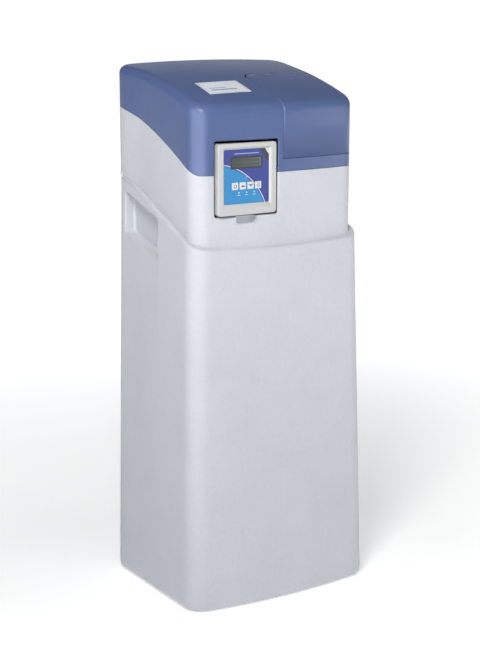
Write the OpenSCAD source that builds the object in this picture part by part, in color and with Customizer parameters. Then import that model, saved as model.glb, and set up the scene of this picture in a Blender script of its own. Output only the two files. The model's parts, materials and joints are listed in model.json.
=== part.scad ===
// Cabinet water softener: a resin tank with its control valve and a salt space share one cabinet.
// Millimetres, +Z up, front towards -Y, origin at the middle of the cabinet's base.

/* [Cabinet] */
// Width of the cabinet at the floor
body_w = 425; // [415:1:440]
// Depth of the cabinet at the floor
body_d = 350; // [345:1:370]
// How far the front swells out in the middle
front_bow = 17.5; // [12:0.5:22]
// Corner radius of the plan
corner_r = 37; // [28:1:45]
// Inward slope of the lower walls, per unit of height
draft = 0.0234; // [0.018:0.0002:0.026]
// Wall thickness of the cabinet
wall = 5; // [4:0.5:6]
// Rounding where the walls meet the base
foot_r = 16; // [10:1:22]
// Height of the ledge at the front
ledge_z = 717; // [700:1:725]
// Rise of the ledge towards the rear, per unit of depth
ledge_rise = 0.425; // [0.36:0.005:0.45]
// Width of the ledge
ledge_step = 10.5; // [8:0.5:12]
// Height of the cover's lower edge at the front
seam_z = 860; // [850:1:880]
// Rise of the cover's lower edge from front to rear
seam_rise = 118; // [100:1:125]

/* [Cover] */
// Wall of the cover and of the hatch
cover_wall = 3; // [2.5:0.5:4]
// Height of the top above the front seam, half-way back
cover_h = 169; // [160:1:180]
// Slope of the top at mid depth
top_slope = 0.24; // [0.18:0.005:0.26]
// Drop of the top towards front and rear, per square millimetre
top_curve = 0.00052; // [0.0002:0.00002:0.0006]
// Rise of the top from its sides to its middle
crown = 5; // [3:0.5:6]
// Rounding of the cover's upper edges
shoulder_r = 16; // [10:1:20]
// Gap between the cabinet's rim and the cover
seam_gap = 0.8; // [0.5:0.1:1.5]
// Depth of the lip that locates the cover
lip_deep = 10; // [6:1:14]
// Thickness of that lip
lip_t = 2.4; // [2:0.2:3]
// Width of the blank label
label_w = 92; // [70:1:100]
// Depth of the blank label
label_d = 58; // [45:1:65]

/* [Salt hatch] */
// Place of the hatch's left seam
hatch_x = 2; // [-4:1:10]
// Place of the hatch's rear seam
hatch_y = 15; // [8:1:24]
// Height of the hatch's lower edge above the cover's
hatch_up = 24; // [20:1:32]
// Radius of the hatch's rear corner
hatch_r = 36; // [30:1:44]
// Gap round the hatch
hatch_gap = 1.2; // [0.8:0.1:1.6]
// Gap behind the hatch, which its edge swings through
hatch_rear_gap = 2; // [1.8:0.1:2.6]
// Distance from the rear seam to the hinge axis
hinge_in = 30; // [29:1:34]
// Radius of the hinge pins
pin_r = 1.6; // [1.4:0.1:2]

/* [Hand grips] */
// Length of each grip
grip_l = 133; // [110:1:140]
// Height of each grip
grip_h = 82; // [66:1:90]
// Depth of each grip
grip_deep = 23; // [16:1:25]

/* [Control panel] */
// Width of the bezel
panel_w = 130; // [124:1:134]
// Height of the bezel
panel_h = 136; // [132:1:140]
// Gap round the bezel
panel_gap = 3; // [2:0.5:4]
// Gap between the bezel and the cover above it
panel_gap_top = 5; // [3:0.5:6]
// How far the bezel stands out of the bowed front
panel_proud = 1; // [0:0.5:4]
// Depth of the bezel's rim
bezel_deep = 15; // [13:1:18]
// Width of the printed foil
foil_w = 100; // [96:1:106]
// Height of the printed foil
foil_h = 103; // [98:1:106]
// Width of the display's window
lcd_w = 69; // [62:1:72]
// Height of the display's window
lcd_h = 21; // [18:1:24]
// Side of each square key
key_w = 13.6; // [12:0.2:14.4]
// Distance between neighbouring keys
key_pitch = 17.2; // [16.4:0.2:18]
// Travel of a key
key_travel = 0.8; // [0.6:0.1:1]

/* [Resin tank] */
// Diameter of the tank
tank_d = 200; // [190:1:203]
// Wall of the tank
tank_wall = 4; // [3:0.5:5]
// Radius of the tank's neck thread
thread_r = 31; // [28:0.5:33]
// Radius of the riser tube
riser_r = 13.3; // [12:0.1:14]
// Depth of the resin in the tank
resin_h = 430; // [350:5:480]

/* [Valve] */
// Outer radius of the valve's barrel
barrel_r = 32; // [30:0.5:34]
// Radius of the barrel's bore
bore_r = 24; // [22.5:0.5:25]
// Radius of the piston
piston_r = 15; // [13:0.5:16]
// Stroke of the piston
stroke = 20; // [14:1:24]
// Module of the drive's teeth
gear_m = 1.5; // [1.4:0.02:1.56]
// Teeth of the motor's pinion
pinion_n = 14; // [13:1:15]
// Teeth of the main gear
gear_n = 56; // [52:1:58]

/* [Water connections] */
// Distance between inlet and outlet
port_gap = 76; // [74:1:84]
// Radius of the male pipe thread
pipe_r = 16.6; // [13.2:0.1:17]
// Length of the male pipe thread
pipe_l = 20; // [16:1:24]
// Radius of the waterway
water_r = 11; // [9:0.5:11.5]

/* [Brine side] */
// Diameter of the brine well
well_d = 100; // [90:1:102]
// Wall of the brine well
well_wall = 2.5; // [2:0.5:3.5]
// Radius of the brine line
line_r = 4.75; // [4:0.05:5]
// Radius of the float
float_r = 14; // [12:0.5:15]
// Travel of the float
float_travel = 20; // [12:1:30]
// Height of the salt grid
grid_z = 60; // [50:1:75]
// Thickness of the salt grid
grid_t = 6; // [4:0.5:8]

/* [Fits] */
// Static clearance between loose fits
fit = 0.3; // [0.2:0.05:0.4]
// Radial clearance of shafts that turn
run = 0.08; // [0.05:0.01:0.1]

/* [Hidden] */
$fn = 48;

// Plan of the cabinet
half_w = body_w / 2;
half_d = body_d / 2;
function low_a(z) = half_w - draft * z;
function low_f(z) = half_d - front_bow - draft * z;
neck_a = low_a(ledge_z) - ledge_step;
neck_f = low_f(ledge_z) - ledge_step;
neck_r = corner_r - 4;
ledge_r = ledge_step * 0.8;
// The neck runs out flush with the lower wall at the rear corners
flare_y = half_d - 105;
flare_l = 75;
function sm(t) = let (c = min(max(t, 0), 1)) c * c * (3 - 2 * c);
function mix(p, q, t) = p + (q - p) * t;
function ledge(y) = let (h = max(0, y + neck_f + 20)) ledge_z + ledge_rise * h * h / (h + 6);
flare = low_a(ledge(half_d)) - neck_a;
function seam(y) =
  let (s = max(0, (y + neck_f - 4) / (half_d + neck_f - 4)), e = 0.02, t = s * s / (s + e) * (1 + e))
  seam_z + seam_rise * t * (1.5 - 0.5 * t);
top_z = seam_z + cover_h;
function top(x, y) = top_z + top_slope * y - top_curve * y * y + crown * (1 - pow(x / neck_a, 2));

// Points of one plan outline, counter-clockwise from the front left corner
NC = 6;
NF = 12;
NS = 10;
NB = 6;
function arc(cx, cy, r, a0) = [for (k = [0:NC])
  let (a = a0 + 90 * k / NC) [cx + r * cos(a), cy + r * sin(a)]];
function between(p, q, n) = [for (k = [1:n]) mix(p, q, k / (n + 1))];
function raw_plan(a, f, b, r) = concat(
  arc(-a + r, -f + r, r, 180), between([-a + r, -f], [a - r, -f], NF),
  arc(a - r, -f + r, r, 270), between([a, -f + r], [a, b - r], NS),
  arc(a - r, b - r, r, 0), between([a - r, b], [-a + r, b], NB),
  arc(-a + r, b - r, r, 90), between([-a, b - r], [-a, -f + r], NS));
function bowed(p, a, f, r) =
  let (k = min(max((-p.y - (f - 2.5 * r)) / (2.5 * r), 0), 1))
  [p.x, p.y - front_bow * (1 - pow(p.x / a, 2)) * k];
function flared(p, a, fl) = [p.x * (1 + fl / a * sm((p.y - flare_y) / flare_l)), p.y];
function plan(a, f, b, r, fl) = [for (p = raw_plan(a, f, b, r)) flared(bowed(p, a, f, r), a, fl)];
function low_plan(z, i) = plan(low_a(z) - i, low_f(z) - i, half_d - i, max(corner_r - i, 4), 0);
function neck_plan(i) = plan(neck_a - i, neck_f - i, half_d - i, max(neck_r - i, 4), flare);
function flat(ps, z) = [for (p = ps) [p.x, p.y, z]];
function on_seam(i, up) = [for (p = neck_plan(i)) [p.x, p.y, seam(p.y) + up]];
function on_top(i, down) = [for (p = neck_plan(i)) [p.x, p.y, top(p.x, p.y) - down]];

// Solid through a stack of rings with the same number of points
module loft(rings, low, high) {
  n = len(rings[0]);
  m = len(rings);
  polyhedron(
    points = concat([for (r = rings) each r], [low, high]),
    faces = concat(
      [for (i = [0:m - 2], j = [0:n - 1]) [i * n + j, (i + 1) * n + j, (i + 1) * n + (j + 1) % n]],
      [for (i = [0:m - 2], j = [0:n - 1]) [i * n + j, (i + 1) * n + (j + 1) % n, i * n + (j + 1) % n]],
      [for (j = [0:n - 1]) [m * n, j, (j + 1) % n]],
      [for (j = [0:n - 1]) [m * n + 1, (m - 1) * n + (j + 1) % n, (m - 1) * n + j]]),
    convexity = 8);
}

// Ring across the ledge: w is 0 on the lower wall and 1 on the neck, dz the height from the ledge
function ledge_ring(i, w, dz) =
  let (lo = low_plan(0, i), hi = low_plan(1000, i), nk = neck_plan(i))
  [for (j = [0:len(nk) - 1])
    let (z = ledge(nk[j].y) + dz, p = mix(mix(lo[j], hi[j], z / 1000), nk[j], w)) [p.x, p.y, z]];

module cabinet_outer() loft(concat(
  [for (a = [0:22.5:90]) flat(low_plan(foot_r * (1 - cos(a)), foot_r * (1 - sin(a))), foot_r * (1 - cos(a)))],
  [for (a = [0:30:90]) ledge_ring(0, 0.8 * (1 - cos(a)), ledge_r * (sin(a) - 1))],
  [ledge_ring(0, 1, 1.5), on_seam(0, 0), on_seam(wall + 8, 0)]), [0, 0, 0], [0, 0, seam_z]);

module cabinet_inner() loft([
  flat(low_plan(wall, wall + foot_r * 0.5), wall),
  flat(low_plan(foot_r * 0.7, wall + foot_r * 0.15), foot_r * 0.7),
  flat(low_plan(foot_r + wall, wall), foot_r + wall),
  ledge_ring(wall, 0, -wall - ledge_r),
  ledge_ring(wall, 1, -wall + 1.5), on_seam(wall, 0), on_seam(wall, 60)],
  [0, 0, wall], [0, 0, seam_z + seam_rise + 60]);

module cover_outer() loft(concat(
  [on_seam(lip_in + lip_t + 7, seam_gap), on_seam(0, seam_gap)],
  [for (a = [0:22.5:90]) on_top(shoulder_r * (1 - cos(a)), shoulder_r * (1 - sin(a)))],
  [for (i = [22, 48, 75, 98]) on_top(shoulder_r + i, 0)]), [0, 20, seam_z], [0, 20, top(0, 20)]);

cover_in_r = shoulder_r - cover_wall;
module cover_inner() loft(concat(
  [on_seam(lip_in + lip_t, -lip_deep - 4), on_seam(lip_in + lip_t, 12), on_seam(cover_wall, 18)],
  [for (a = [0:30:90])
    on_top(cover_wall + cover_in_r * (1 - cos(a)), cover_wall + cover_in_r * (1 - sin(a)))],
  [for (i = [22, 48, 75, 98]) on_top(shoulder_r + i, cover_wall)]),
  [0, 20, seam_z - 80], [0, 20, top(0, 20) - cover_wall]);

lip_in = wall + 2 * fit;
module cover_lip() loft([on_seam(lip_in, -lip_deep), on_seam(lip_in, 9)],
  [0, 0, seam_z - 20], [0, 0, seam_z + 20]);

// Box with rounded edges along Y, from y0 to y1
module slot_y(x0, x1, z0, z1, r, y0, y1, grow = 0) hull() {
  for (x = [x0 + r, x1 - r], z = [z0 + r, z1 - r]) {
    translate([x, y0, z]) rotate([-90, 0, 0]) cylinder(r1 = r + grow, r2 = r, h = y1 - y0, $fn = 24);
  }
}
module rod_y(x, z, y0, y1, r) translate([x, y0, z]) rotate([-90, 0, 0]) cylinder(r = r, h = y1 - y0);
module rod_x(y, z, x0, x1, r) translate([x0, y, z]) rotate([0, 90, 0]) cylinder(r = r, h = x1 - x0);
module rod_z(x, y, z0, z1, r) translate([x, y, z0]) cylinder(r = r, h = z1 - z0);
module box(x0, x1, y0, y1, z0, z1) translate([x0, y0, z0]) cube([x1 - x0, y1 - y0, z1 - z0]);

// Places of the inner parts
tank_r = tank_d / 2;
tank_side_gap = 2.7;
tank_x = -(neck_a - wall - tank_r - tank_side_gap);
head_drop = 115;
tank_top = seam_z - head_drop;
valve_z = tank_top + 60;
panel_x = tank_x;
panel_z = valve_z + 46;
panel_y = -(neck_f + front_bow * (1 - pow(panel_x / neck_a, 2))) - panel_proud;
foil_sink = 4;
foil_t = 0.6;
web_y = panel_y + foil_sink + foil_t;
web_t = 3;
rim_back = panel_y + bezel_deep;
board_y = rim_back + 0.4;
board_t = 1.6;
box_deep = 36;
box_t = 3;
box_back = rim_back + box_deep;
gear_t = 8;
gear_y = box_back + 2;
cap_y = gear_y + gear_t + 1;
cap_t = 8;
valve_y = cap_y + cap_t;
valve_l = 112;
tank_y = valve_y + 68;
valve_end = valve_y + valve_l;
foil_z = panel_z + 4.5;
lcd_z = panel_z + 31;
led_z = panel_z + 3;
key_z = panel_z - 13;
function key_x(k) = panel_x + (k - 2.5) * key_pitch;

// Hand grips
grip_y = half_d - 111;
grip_z = ledge(grip_y) - 61.6;
grip_rake = 0.3;
grip_r = 8;
module grip(side, grow) hull() {
  for (u = [-1, 1], v = [-1, 1]) {
    dy = u * (grip_l / 2 - grip_r);
    dz = v * (grip_h / 2 - grip_r) + grip_rake * dy;
    translate([side * (low_a(grip_z) - grip_deep - grow), grip_y + dy, grip_z + dz]) rotate([0, side * 90, 0])
      cylinder(r = grip_r + grow, h = grip_deep + grow + 12, $fn = 24);
  }
}

// Panel cut-out, shared by the cabinet and the cover
cut_x0 = panel_x - panel_w / 2 - panel_gap;
cut_x1 = panel_x + panel_w / 2 + panel_gap;
cut_z0 = panel_z - panel_h / 2 - panel_gap;
cut_z1 = panel_z + panel_h / 2 + panel_gap_top;
notch_w = 46;
notch_h = 14;
notch_deep = 12;
notch_r = 6;
module notch(grow, up) slot_y(panel_x - notch_w / 2 - grow, panel_x + notch_w / 2 + grow,
  cut_z0 - notch_h - grow, cut_z0 + up, notch_r, -half_d, panel_y + notch_deep + grow);
module panel_cut() {
  slot_y(cut_x0, cut_x1, cut_z0, cut_z1, 5, -half_d, tank_y - tank_r);
  slot_y(cut_x0, cut_x1, cut_z0, cut_z1, 5, -half_d, panel_y + panel_proud + 6, 4);
}

// Rear openings
port_in_x = tank_x - port_gap / 2;
port_out_x = tank_x + port_gap / 2;
rear_margin = 30;
over_x = tank_x + tank_r + 12;
over_z = tank_top - 105;
over_r = 12.5;
cable_x = over_x + 20;
cable_z = valve_z;
cable_r = 8;

module cabinet() color("whitesmoke") difference() {
  cabinet_outer();
  difference() {
    cabinet_inner();
    for (side = [-1, 1]) grip(side, wall);
    notch(wall, notch_r);
  }
  for (side = [-1, 1]) grip(side, 0);
  panel_cut();
  notch(0, 2 * notch_r);
  slot_y(port_in_x - rear_margin, port_out_x + rear_margin,
    valve_z - rear_margin - 6, valve_z + rear_margin + 6, 10, half_d - wall - 20, half_d + 20);
  rod_y(over_x, over_z, half_d - wall - 10, half_d + 10, over_r + fit);
  rod_y(cable_x, cable_z, half_d - wall - 10, half_d + 10, cable_r + fit);
}

// Region of the hatch: a vertical outline above a line that runs along the cover's lower edge
module hatch_plan(r, g, rear) {
  x0 = hatch_x - g;
  y1 = hatch_y + rear;
  hull() {
    translate([x0 + r, y1 - r]) circle(r = r, $fn = 96);
    translate([x0, -half_d - 20]) square([10, 10]);
    translate([half_w + 10, y1 - 10]) square([10, 10]);
    translate([half_w + 10, -half_d - 20]) square([10, 10]);
  }
}
hatch_line = [for (k = [0:32]) -half_d - 20 + (half_d + 20 + hatch_y + 20) * k / 32];
module hatch_zone(r, g, rear) intersection() {
  translate([0, 0, seam_z - 50]) linear_extrude(height = 400) hatch_plan(r, g, rear);
  translate([-half_w, 0, 0]) rotate([90, 0, 90]) linear_extrude(height = body_w + 40)
    polygon(concat([for (y = hatch_line) [y, seam(y) + hatch_up - g]],
      [[hatch_y + 20, top_z + 200], [-half_d - 20, top_z + 200]]));
}
open_r = hatch_r - 7;

// Rib under the top along Y, held in the wall
module rib(x, y0, y1) hull() {
  for (y = [y0, y1]) translate([x - 1, y, top(x, y) - cover_wall - 7]) cube([2, 2, 8]);
}
rib_y = [-neck_f + 32, -neck_f + 78, hatch_y - hinge_in - 24];
module cover() color([0.36, 0.43, 0.63]) difference() {
  union() {
    difference() {
      union() {
        cover_outer();
        cover_lip();
      }
      cover_inner();
    }
    for (x = [tank_x - 64, tank_x, tank_x + 62], k = [0:1]) rib(x, rib_y[k], rib_y[k + 1]);
    for (x = [tank_x - 64, tank_x]) rib(x, rib_y[2], half_d - 50);
  }
  hatch_zone(open_r, 0, 0);
  panel_cut();
  slot_y(cut_x0, cut_x1, seam_z - lip_deep - 10, cut_z1, 5, -half_d, panel_y + 40);
}
rib_hatch_x = [hatch_x + 16, hatch_x + 92, hatch_x + 148];
module salt_hatch() color([0.36, 0.43, 0.63]) union() {
  intersection() {
    difference() {
      cover_outer();
      cover_inner();
    }
    hatch_zone(hatch_r, -hatch_gap, -hatch_rear_gap);
  }
  for (x = rib_hatch_x, k = [0:1]) rib(x, rib_y[k], rib_y[k + 1]);
  for (x = rib_hatch_x, k = [0:1]) rib(x + 8, rib_y[k], rib_y[k + 1]);
}

// Hinges: brackets on the cover reach under the hatch's rear strip to the axis
hinge_y = hatch_y - hinge_in;
lug_r = 3.2;
hinge_deep = cover_wall + lug_r + 0.4;
hinge_tilt = atan(top_slope - 2 * top_curve * hinge_y);
hinge_xs = [hatch_x + 50, hatch_x + 110];
hinge_ref = top(hinge_xs[1], hinge_y);
hinge_z = hinge_ref - hinge_deep / cos(hinge_tilt);
// Height of the underside above the axis, at a place along the axis
function pad_v(x) = hinge_deep - cover_wall + (top(x, hinge_y) - hinge_ref) * cos(hinge_tilt);
// What the underside has fallen away by, at a distance from the axis
function fall(u) = top_curve * u * u + 0.2;
swing_r = norm([hinge_in, pad_v(hatch_x) + cover_wall]) + 1;
plate_t = 5;
pad_l = 24;
module at_hinge(x) translate([x, hinge_y, hinge_z]) rotate([hinge_tilt, 0, 0]) children();
module plate_yz(x0, x1, pts) translate([x0, 0, 0]) rotate([90, 0, 90])
  linear_extrude(height = x1 - x0) polygon(pts);
module hinge_brackets() color("dimgray") for (x = hinge_xs) at_hinge(x) difference() {
  v = pad_v(x + plate_t / 2);
  union() {
    plate_yz(-plate_t / 2, plate_t / 2, [[-lug_r, 0], [-lug_r - 2, -swing_r - 4], [swing_r + 4, -swing_r - 4],
      [swing_r + 4, v - 4], [swing_r + pad_l, v - 4.5], [swing_r + pad_l, v - fall(swing_r + pad_l)],
      [swing_r + 1, v - fall(swing_r + 1)], [swing_r + 1, -swing_r], [-1.6, -swing_r], [1, 0]]);
    rod_x(0, 0, -plate_t / 2, plate_t / 2, lug_r);
  }
  rod_x(0, 0, -plate_t, plate_t, pin_r + 0.02);
}
lug_gap = 0.4;
lug_t = 4;
lug_l = 24;
module hatch_lugs() color("dimgray") for (x = hinge_xs, s = [-1, 1]) at_hinge(x) difference() {
  x0 = s > 0 ? plate_t / 2 + lug_gap : -plate_t / 2 - lug_gap - lug_t;
  v = pad_v(x + x0 + lug_t);
  union() {
    plate_yz(x0, x0 + lug_t, [[-lug_l, v - 3], [-lug_r, 0], [lug_r, 0], [lug_r, v - fall(lug_r)],
      [0, v - 0.2], [-lug_l, v - fall(lug_l)]]);
    rod_x(0, 0, x0, x0 + lug_t, lug_r);
  }
  rod_x(0, 0, x0 - 1, x0 + lug_t + 1, pin_r + run);
}
pin_l = plate_t + 2 * (lug_gap + lug_t) + 1;
module hinge_pins() color("silver") for (x = hinge_xs) at_hinge(x) rod_x(0, 0, -pin_l / 2, pin_l / 2, pin_r);

// Blank label that lies on the sloping top
label_y = -57;
label_t = 0.5;
label_up = 0.25;
label_n = 6;
label_x0 = panel_x - label_w / 2;
module cover_label() color("white") loft(
  [for (s = [label_up, label_up + label_t]) concat(
    [for (k = [0:label_n]) label_pt(k / label_n, 0, s)],
    [for (k = [1:label_n]) label_pt(1, k / label_n, s)],
    [for (k = [1:label_n]) label_pt(1 - k / label_n, 1, s)],
    [for (k = [1:label_n - 1]) label_pt(0, 1 - k / label_n, s)])],
  label_pt(0.5, 0.5, label_up), label_pt(0.5, 0.5, label_up + label_t));
function label_pt(u, v, up) =
  let (x = label_x0 + label_w * u, y = label_y + label_d * (v - 0.5)) [x, y, top(x, y) + up];

// Control panel
px0 = panel_x - panel_w / 2;
px1 = panel_x + panel_w / 2;
pz0 = panel_z - panel_h / 2;
pz1 = panel_z + panel_h / 2;
key_fit = 0.3;
led_r = 1.5;
screw_r = 2;
screw_in = 9.5;
boss_r = 4.5;
rim_t = 4;
rim_front = 5;
side_in = 1.5;
slope_side = 4.2;
slope_top = 3.8;
slope_low = 7.5;
foil_r = 3;
// Sunk field of the foil, with sloping faces up to the flat band of the bezel
module foil_well() hull() {
  slot_y(panel_x - foil_w / 2 - fit, panel_x + foil_w / 2 + fit,
    foil_z - foil_h / 2 - fit, foil_z + foil_h / 2 + fit, foil_r, web_y - foil_t, web_y);
  slot_y(panel_x - foil_w / 2 - slope_side, panel_x + foil_w / 2 + slope_side,
    foil_z - foil_h / 2 - slope_low, foil_z + foil_h / 2 + slope_top, foil_r, panel_y - 0.5, panel_y);
}
module round_plate(x, z, w, h, r, y0, y1) {
  box(x - w / 2 + r, x + w / 2 - r, y0, y1, z - h / 2, z + h / 2);
  box(x - w / 2, x + w / 2, y0, y1, z - h / 2 + r, z + h / 2 - r);
  for (u = [-1, 1], v = [-1, 1]) rod_y(x + u * (w / 2 - r), z + v * (h / 2 - r), y0, y1, r);
}
// Box on the face of the panel
module face_box(x, z, w, h, y0, y1) box(x - w / 2, x + w / 2, y0, y1, z - h / 2, z + h / 2);
module face_holes(y0, y1) {
  face_box(panel_x, lcd_z, lcd_w + 2 * fit, lcd_h + 2 * fit, y0, y1);
  for (k = [1:4]) face_box(key_x(k), key_z, key_w + 2 * key_fit, key_w + 2 * key_fit, y0, y1);
  rod_y(panel_x, led_z, y0, y1, led_r + 0.15);
}
module bezel() color([0.78, 0.77, 0.74]) difference() {
  union() {
    difference() {
      union() {
        round_plate(panel_x, panel_z, panel_w, panel_h, 6, panel_y, panel_y + rim_front);
        round_plate(panel_x, panel_z, panel_w - 2 * side_in, panel_h - 2 * side_in, 5,
          panel_y + rim_front - 1, rim_back);
      }
      round_plate(panel_x, panel_z, panel_w - 2 * rim_t, panel_h - 2 * rim_t, 3, web_y + web_t, rim_back + 1);
    }
    corner_screws(boss_r, web_y + web_t - 1, board_y);
  }
  foil_well();
  face_holes(web_y - 1, web_y + web_t + 1);
  corner_screws(screw_r + 0.05, web_y + web_t + 2, board_y + 1);
}
module panel_overlay() color([0.27, 0.33, 0.61]) difference() {
  slot_y(panel_x - foil_w / 2, panel_x + foil_w / 2, foil_z - foil_h / 2, foil_z + foil_h / 2, foil_r,
    web_y - foil_t, web_y);
  face_holes(web_y - foil_t - 1, web_y + 1);
}
lcd_frame = 5;
lcd_t = 6;
module display() color([0.3, 0.36, 0.33]) {
  face_box(panel_x, lcd_z, lcd_w, lcd_h, web_y - foil_t + 0.1, web_y + web_t);
  face_box(panel_x, lcd_z, lcd_w + 2 * lcd_frame, lcd_h + 2 * lcd_frame,
    web_y + web_t, web_y + web_t + lcd_t);
}
led_out = 0.4;
module status_led() color([0.75, 0.8, 0.75]) {
  rod_y(panel_x, led_z, web_y - foil_t - led_out, board_y, led_r);
  rod_y(panel_x, led_z, web_y + web_t, web_y + web_t + 1, led_r + 0.5);
}
key_out = 0.9;
switch_h = 4;
key_lip = 1.2;
module key_cap(k) color([0.84, 0.85, 0.88]) {
  face_box(key_x(k), key_z, key_w, key_w, web_y - foil_t - key_out, web_y + web_t + 1);
  face_box(key_x(k), key_z, key_w + 2 * key_lip, key_w + 2 * key_lip,
    web_y + web_t + 0.1, web_y + web_t + 1.2);
  rod_y(key_x(k), key_z, web_y + web_t, board_y - switch_h - key_travel - 0.15, 2.5);
}
module key_1() key_cap(1);
module key_2() key_cap(2);
module key_3() key_cap(3);
module key_4() key_cap(4);
board_in = 6;
module circuit_board() color("darkgreen") difference() {
  union() {
    box(px0 + board_in, px1 - board_in, board_y, board_y + board_t, pz0 + board_in, pz1 - board_in);
    for (k = [1:4]) face_box(key_x(k), key_z, 6, 6, board_y - switch_h, board_y);
    face_box(panel_x, lcd_z, lcd_w - 8, 16, web_y + web_t + lcd_t, board_y);
    box(panel_x - 44, panel_x - 24, board_y + board_t, board_y + board_t + 9, pz0 + 14, pz0 + 26);
    box(panel_x + 20, panel_x + 32, board_y + board_t, board_y + board_t + 3, pz0 + 16, pz0 + 28);
  }
  corner_screws(screw_r + fit, board_y - 1, board_y + board_t + 1);
}
module corner_screws(r, y0, y1) for (u = [-1, 1], v = [-1, 1]) {
  rod_y(panel_x + u * (panel_w / 2 - screw_in), panel_z + v * (panel_h / 2 - screw_in), y0, y1, r);
}
gear_c = gear_m * (pinion_n + gear_n) / 2;
pinion_x = tank_x + gear_c * cos(45);
pinion_z = valve_z + gear_c * sin(45);
arm_x = gear_m * (gear_n / 2 + 1) + 3;
shaft_r = 2.5;
motor_r = 18;
rod_r = 5;
module control_box() color([0.2, 0.2, 0.22]) difference() {
  union() {
    difference() {
      round_plate(panel_x, panel_z, panel_w - 2 * side_in, panel_h - 2 * side_in, 5, rim_back, box_back);
      round_plate(panel_x, panel_z, panel_w - 2 * (side_in + box_t), panel_h - 2 * (side_in + box_t), 3,
        rim_back - 1, box_back - box_t);
    }
    corner_screws(boss_r, board_y + board_t, box_back);
    for (s = [-1, 1]) {
      face_box(tank_x + s * (arm_x + 2), valve_z, 4, 16, box_back - 1, valve_y + 7);
      face_box(tank_x + s * (arm_x - 10), valve_z, 22, 16, cap_y + 1, valve_y + 7);
    }
  }
  rod_y(tank_x, valve_z, cap_y, valve_y + 8, barrel_r + 4.1);
  corner_screws(screw_r + 0.05, board_y, box_back + 1);
  rod_y(tank_x, valve_z, box_back - box_t - 1, box_back + 1, rod_r + 1);
  rod_y(pinion_x, pinion_z, box_back - box_t - 1, box_back + 1, shaft_r + 1.5);
}
module panel_screws() color("silver") {
  corner_screws(screw_r, web_y + web_t + 3, box_back + 1);
  corner_screws(3.6, box_back, box_back + 1.6);
}

// Toothed wheel with involute flanks
function inv(a) = tan(a) * 180 / PI - a;
function tooth_half(n, m, r, play) =
  let (rb = m * n / 2 * cos(20), q = max(r, rb), a = acos(rb / q))
  90 / n - play / (m * n) * 180 / PI + inv(20) - inv(a);
function wheel_pts(n, m, play) =
  let (rp = m * n / 2, rr = [for (k = [0:5]) rp - 1.25 * m + 2.15 * m * k / 5])
  [for (t = [0:n - 1]) each concat(
    [for (r = rr) let (a = 360 * t / n - tooth_half(n, m, r, play)) [r * cos(a), r * sin(a)]],
    [for (k = [5:-1:0])
      let (a = 360 * t / n + tooth_half(n, m, rr[k], play)) [rr[k] * cos(a), rr[k] * sin(a)]])];
module wheel(n, x, z, y0, y1, turn) translate([x, y0, z]) rotate([-90, turn, 0])
  linear_extrude(height = y1 - y0) polygon(wheel_pts(n, gear_m, 0.3));
module drive_motor() color("silver") {
  rod_y(pinion_x, pinion_z, board_y + board_t + 4, box_back - box_t, motor_r);
  rod_y(pinion_x, pinion_z, box_back - box_t - 1, box_back + 1, shaft_r + 1);
  rod_y(pinion_x, pinion_z, box_back, gear_y + gear_t + 0.5, shaft_r);
}
module motor_pinion() color("ivory") difference() {
  wheel(pinion_n, pinion_x, pinion_z, gear_y, gear_y + gear_t, -225 + 180 / pinion_n);
  rod_y(pinion_x, pinion_z, gear_y - 1, gear_y + gear_t + 1, shaft_r + run);
}
hub_r = 11;
module main_gear() color("ivory") difference() {
  union() {
    wheel(gear_n, tank_x, valve_z, gear_y, gear_y + gear_t, -45);
    rod_y(tank_x, valve_z, gear_y, gear_y + gear_t + 1 + cap_t - 2, hub_r);
  }
  rod_y(tank_x, valve_z, gear_y - 1, gear_y + gear_t + cap_t + 1, rod_r + run);
}
module drive_cap() color([0.2, 0.2, 0.22]) difference() {
  union() {
    rod_y(tank_x, valve_z, cap_y, valve_y, barrel_r + 4);
    rod_y(tank_x, valve_z, valve_y, valve_y + 10, bore_r - 0.1);
  }
  rod_y(tank_x, valve_z, cap_y - 1, cap_y + cap_t - 1.5, hub_r + run);
  rod_y(tank_x, valve_z, cap_y, valve_y + 11, rod_r + run);
}
stack_y0 = valve_y + 10.05;
stack_l = 84;
piston_y = stack_y0 + stroke + 2;
module piston() color("dimgray") {
  rod_y(tank_x, valve_z, gear_y - 3, piston_y + 2, rod_r);
  difference() {
    rod_y(tank_x, valve_z, piston_y, piston_y + 56, piston_r);
    difference() {
      rod_y(tank_x, valve_z, piston_y + 20, piston_y + 36, piston_r + 2);
      rod_y(tank_x, valve_z, piston_y + 19, piston_y + 37, piston_r - 5);
    }
  }
}
module seal_stack() color([0.15, 0.15, 0.16]) difference() {
  rod_y(tank_x, valve_z, stack_y0, stack_y0 + stack_l, bore_r - 0.1);
  rod_y(tank_x, valve_z, stack_y0 - 1, stack_y0 + stack_l + 1, piston_r + run);
  for (k = [0:3]) difference() {
    rod_y(tank_x, valve_z, stack_y0 + 8 + 20 * k, stack_y0 + 16 + 20 * k, bore_r + 2);
    rod_y(tank_x, valve_z, stack_y0 + 7 + 20 * k, stack_y0 + 17 + 20 * k, bore_r - 4);
  }
}
port_r = water_r + 6;
spigot_l = 20;
collar_r = thread_r + 11;
manifold_l = 32;
inject_back = 26;
inject_y = tank_y - inject_back;
brine_y = tank_y + 2;
elbow_reach = 16;
side_x = tank_x + barrel_r + elbow_reach;
drain_back = 14;
drain_y = tank_y - drain_back;
drain_z = valve_z + barrel_r + 8;
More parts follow.
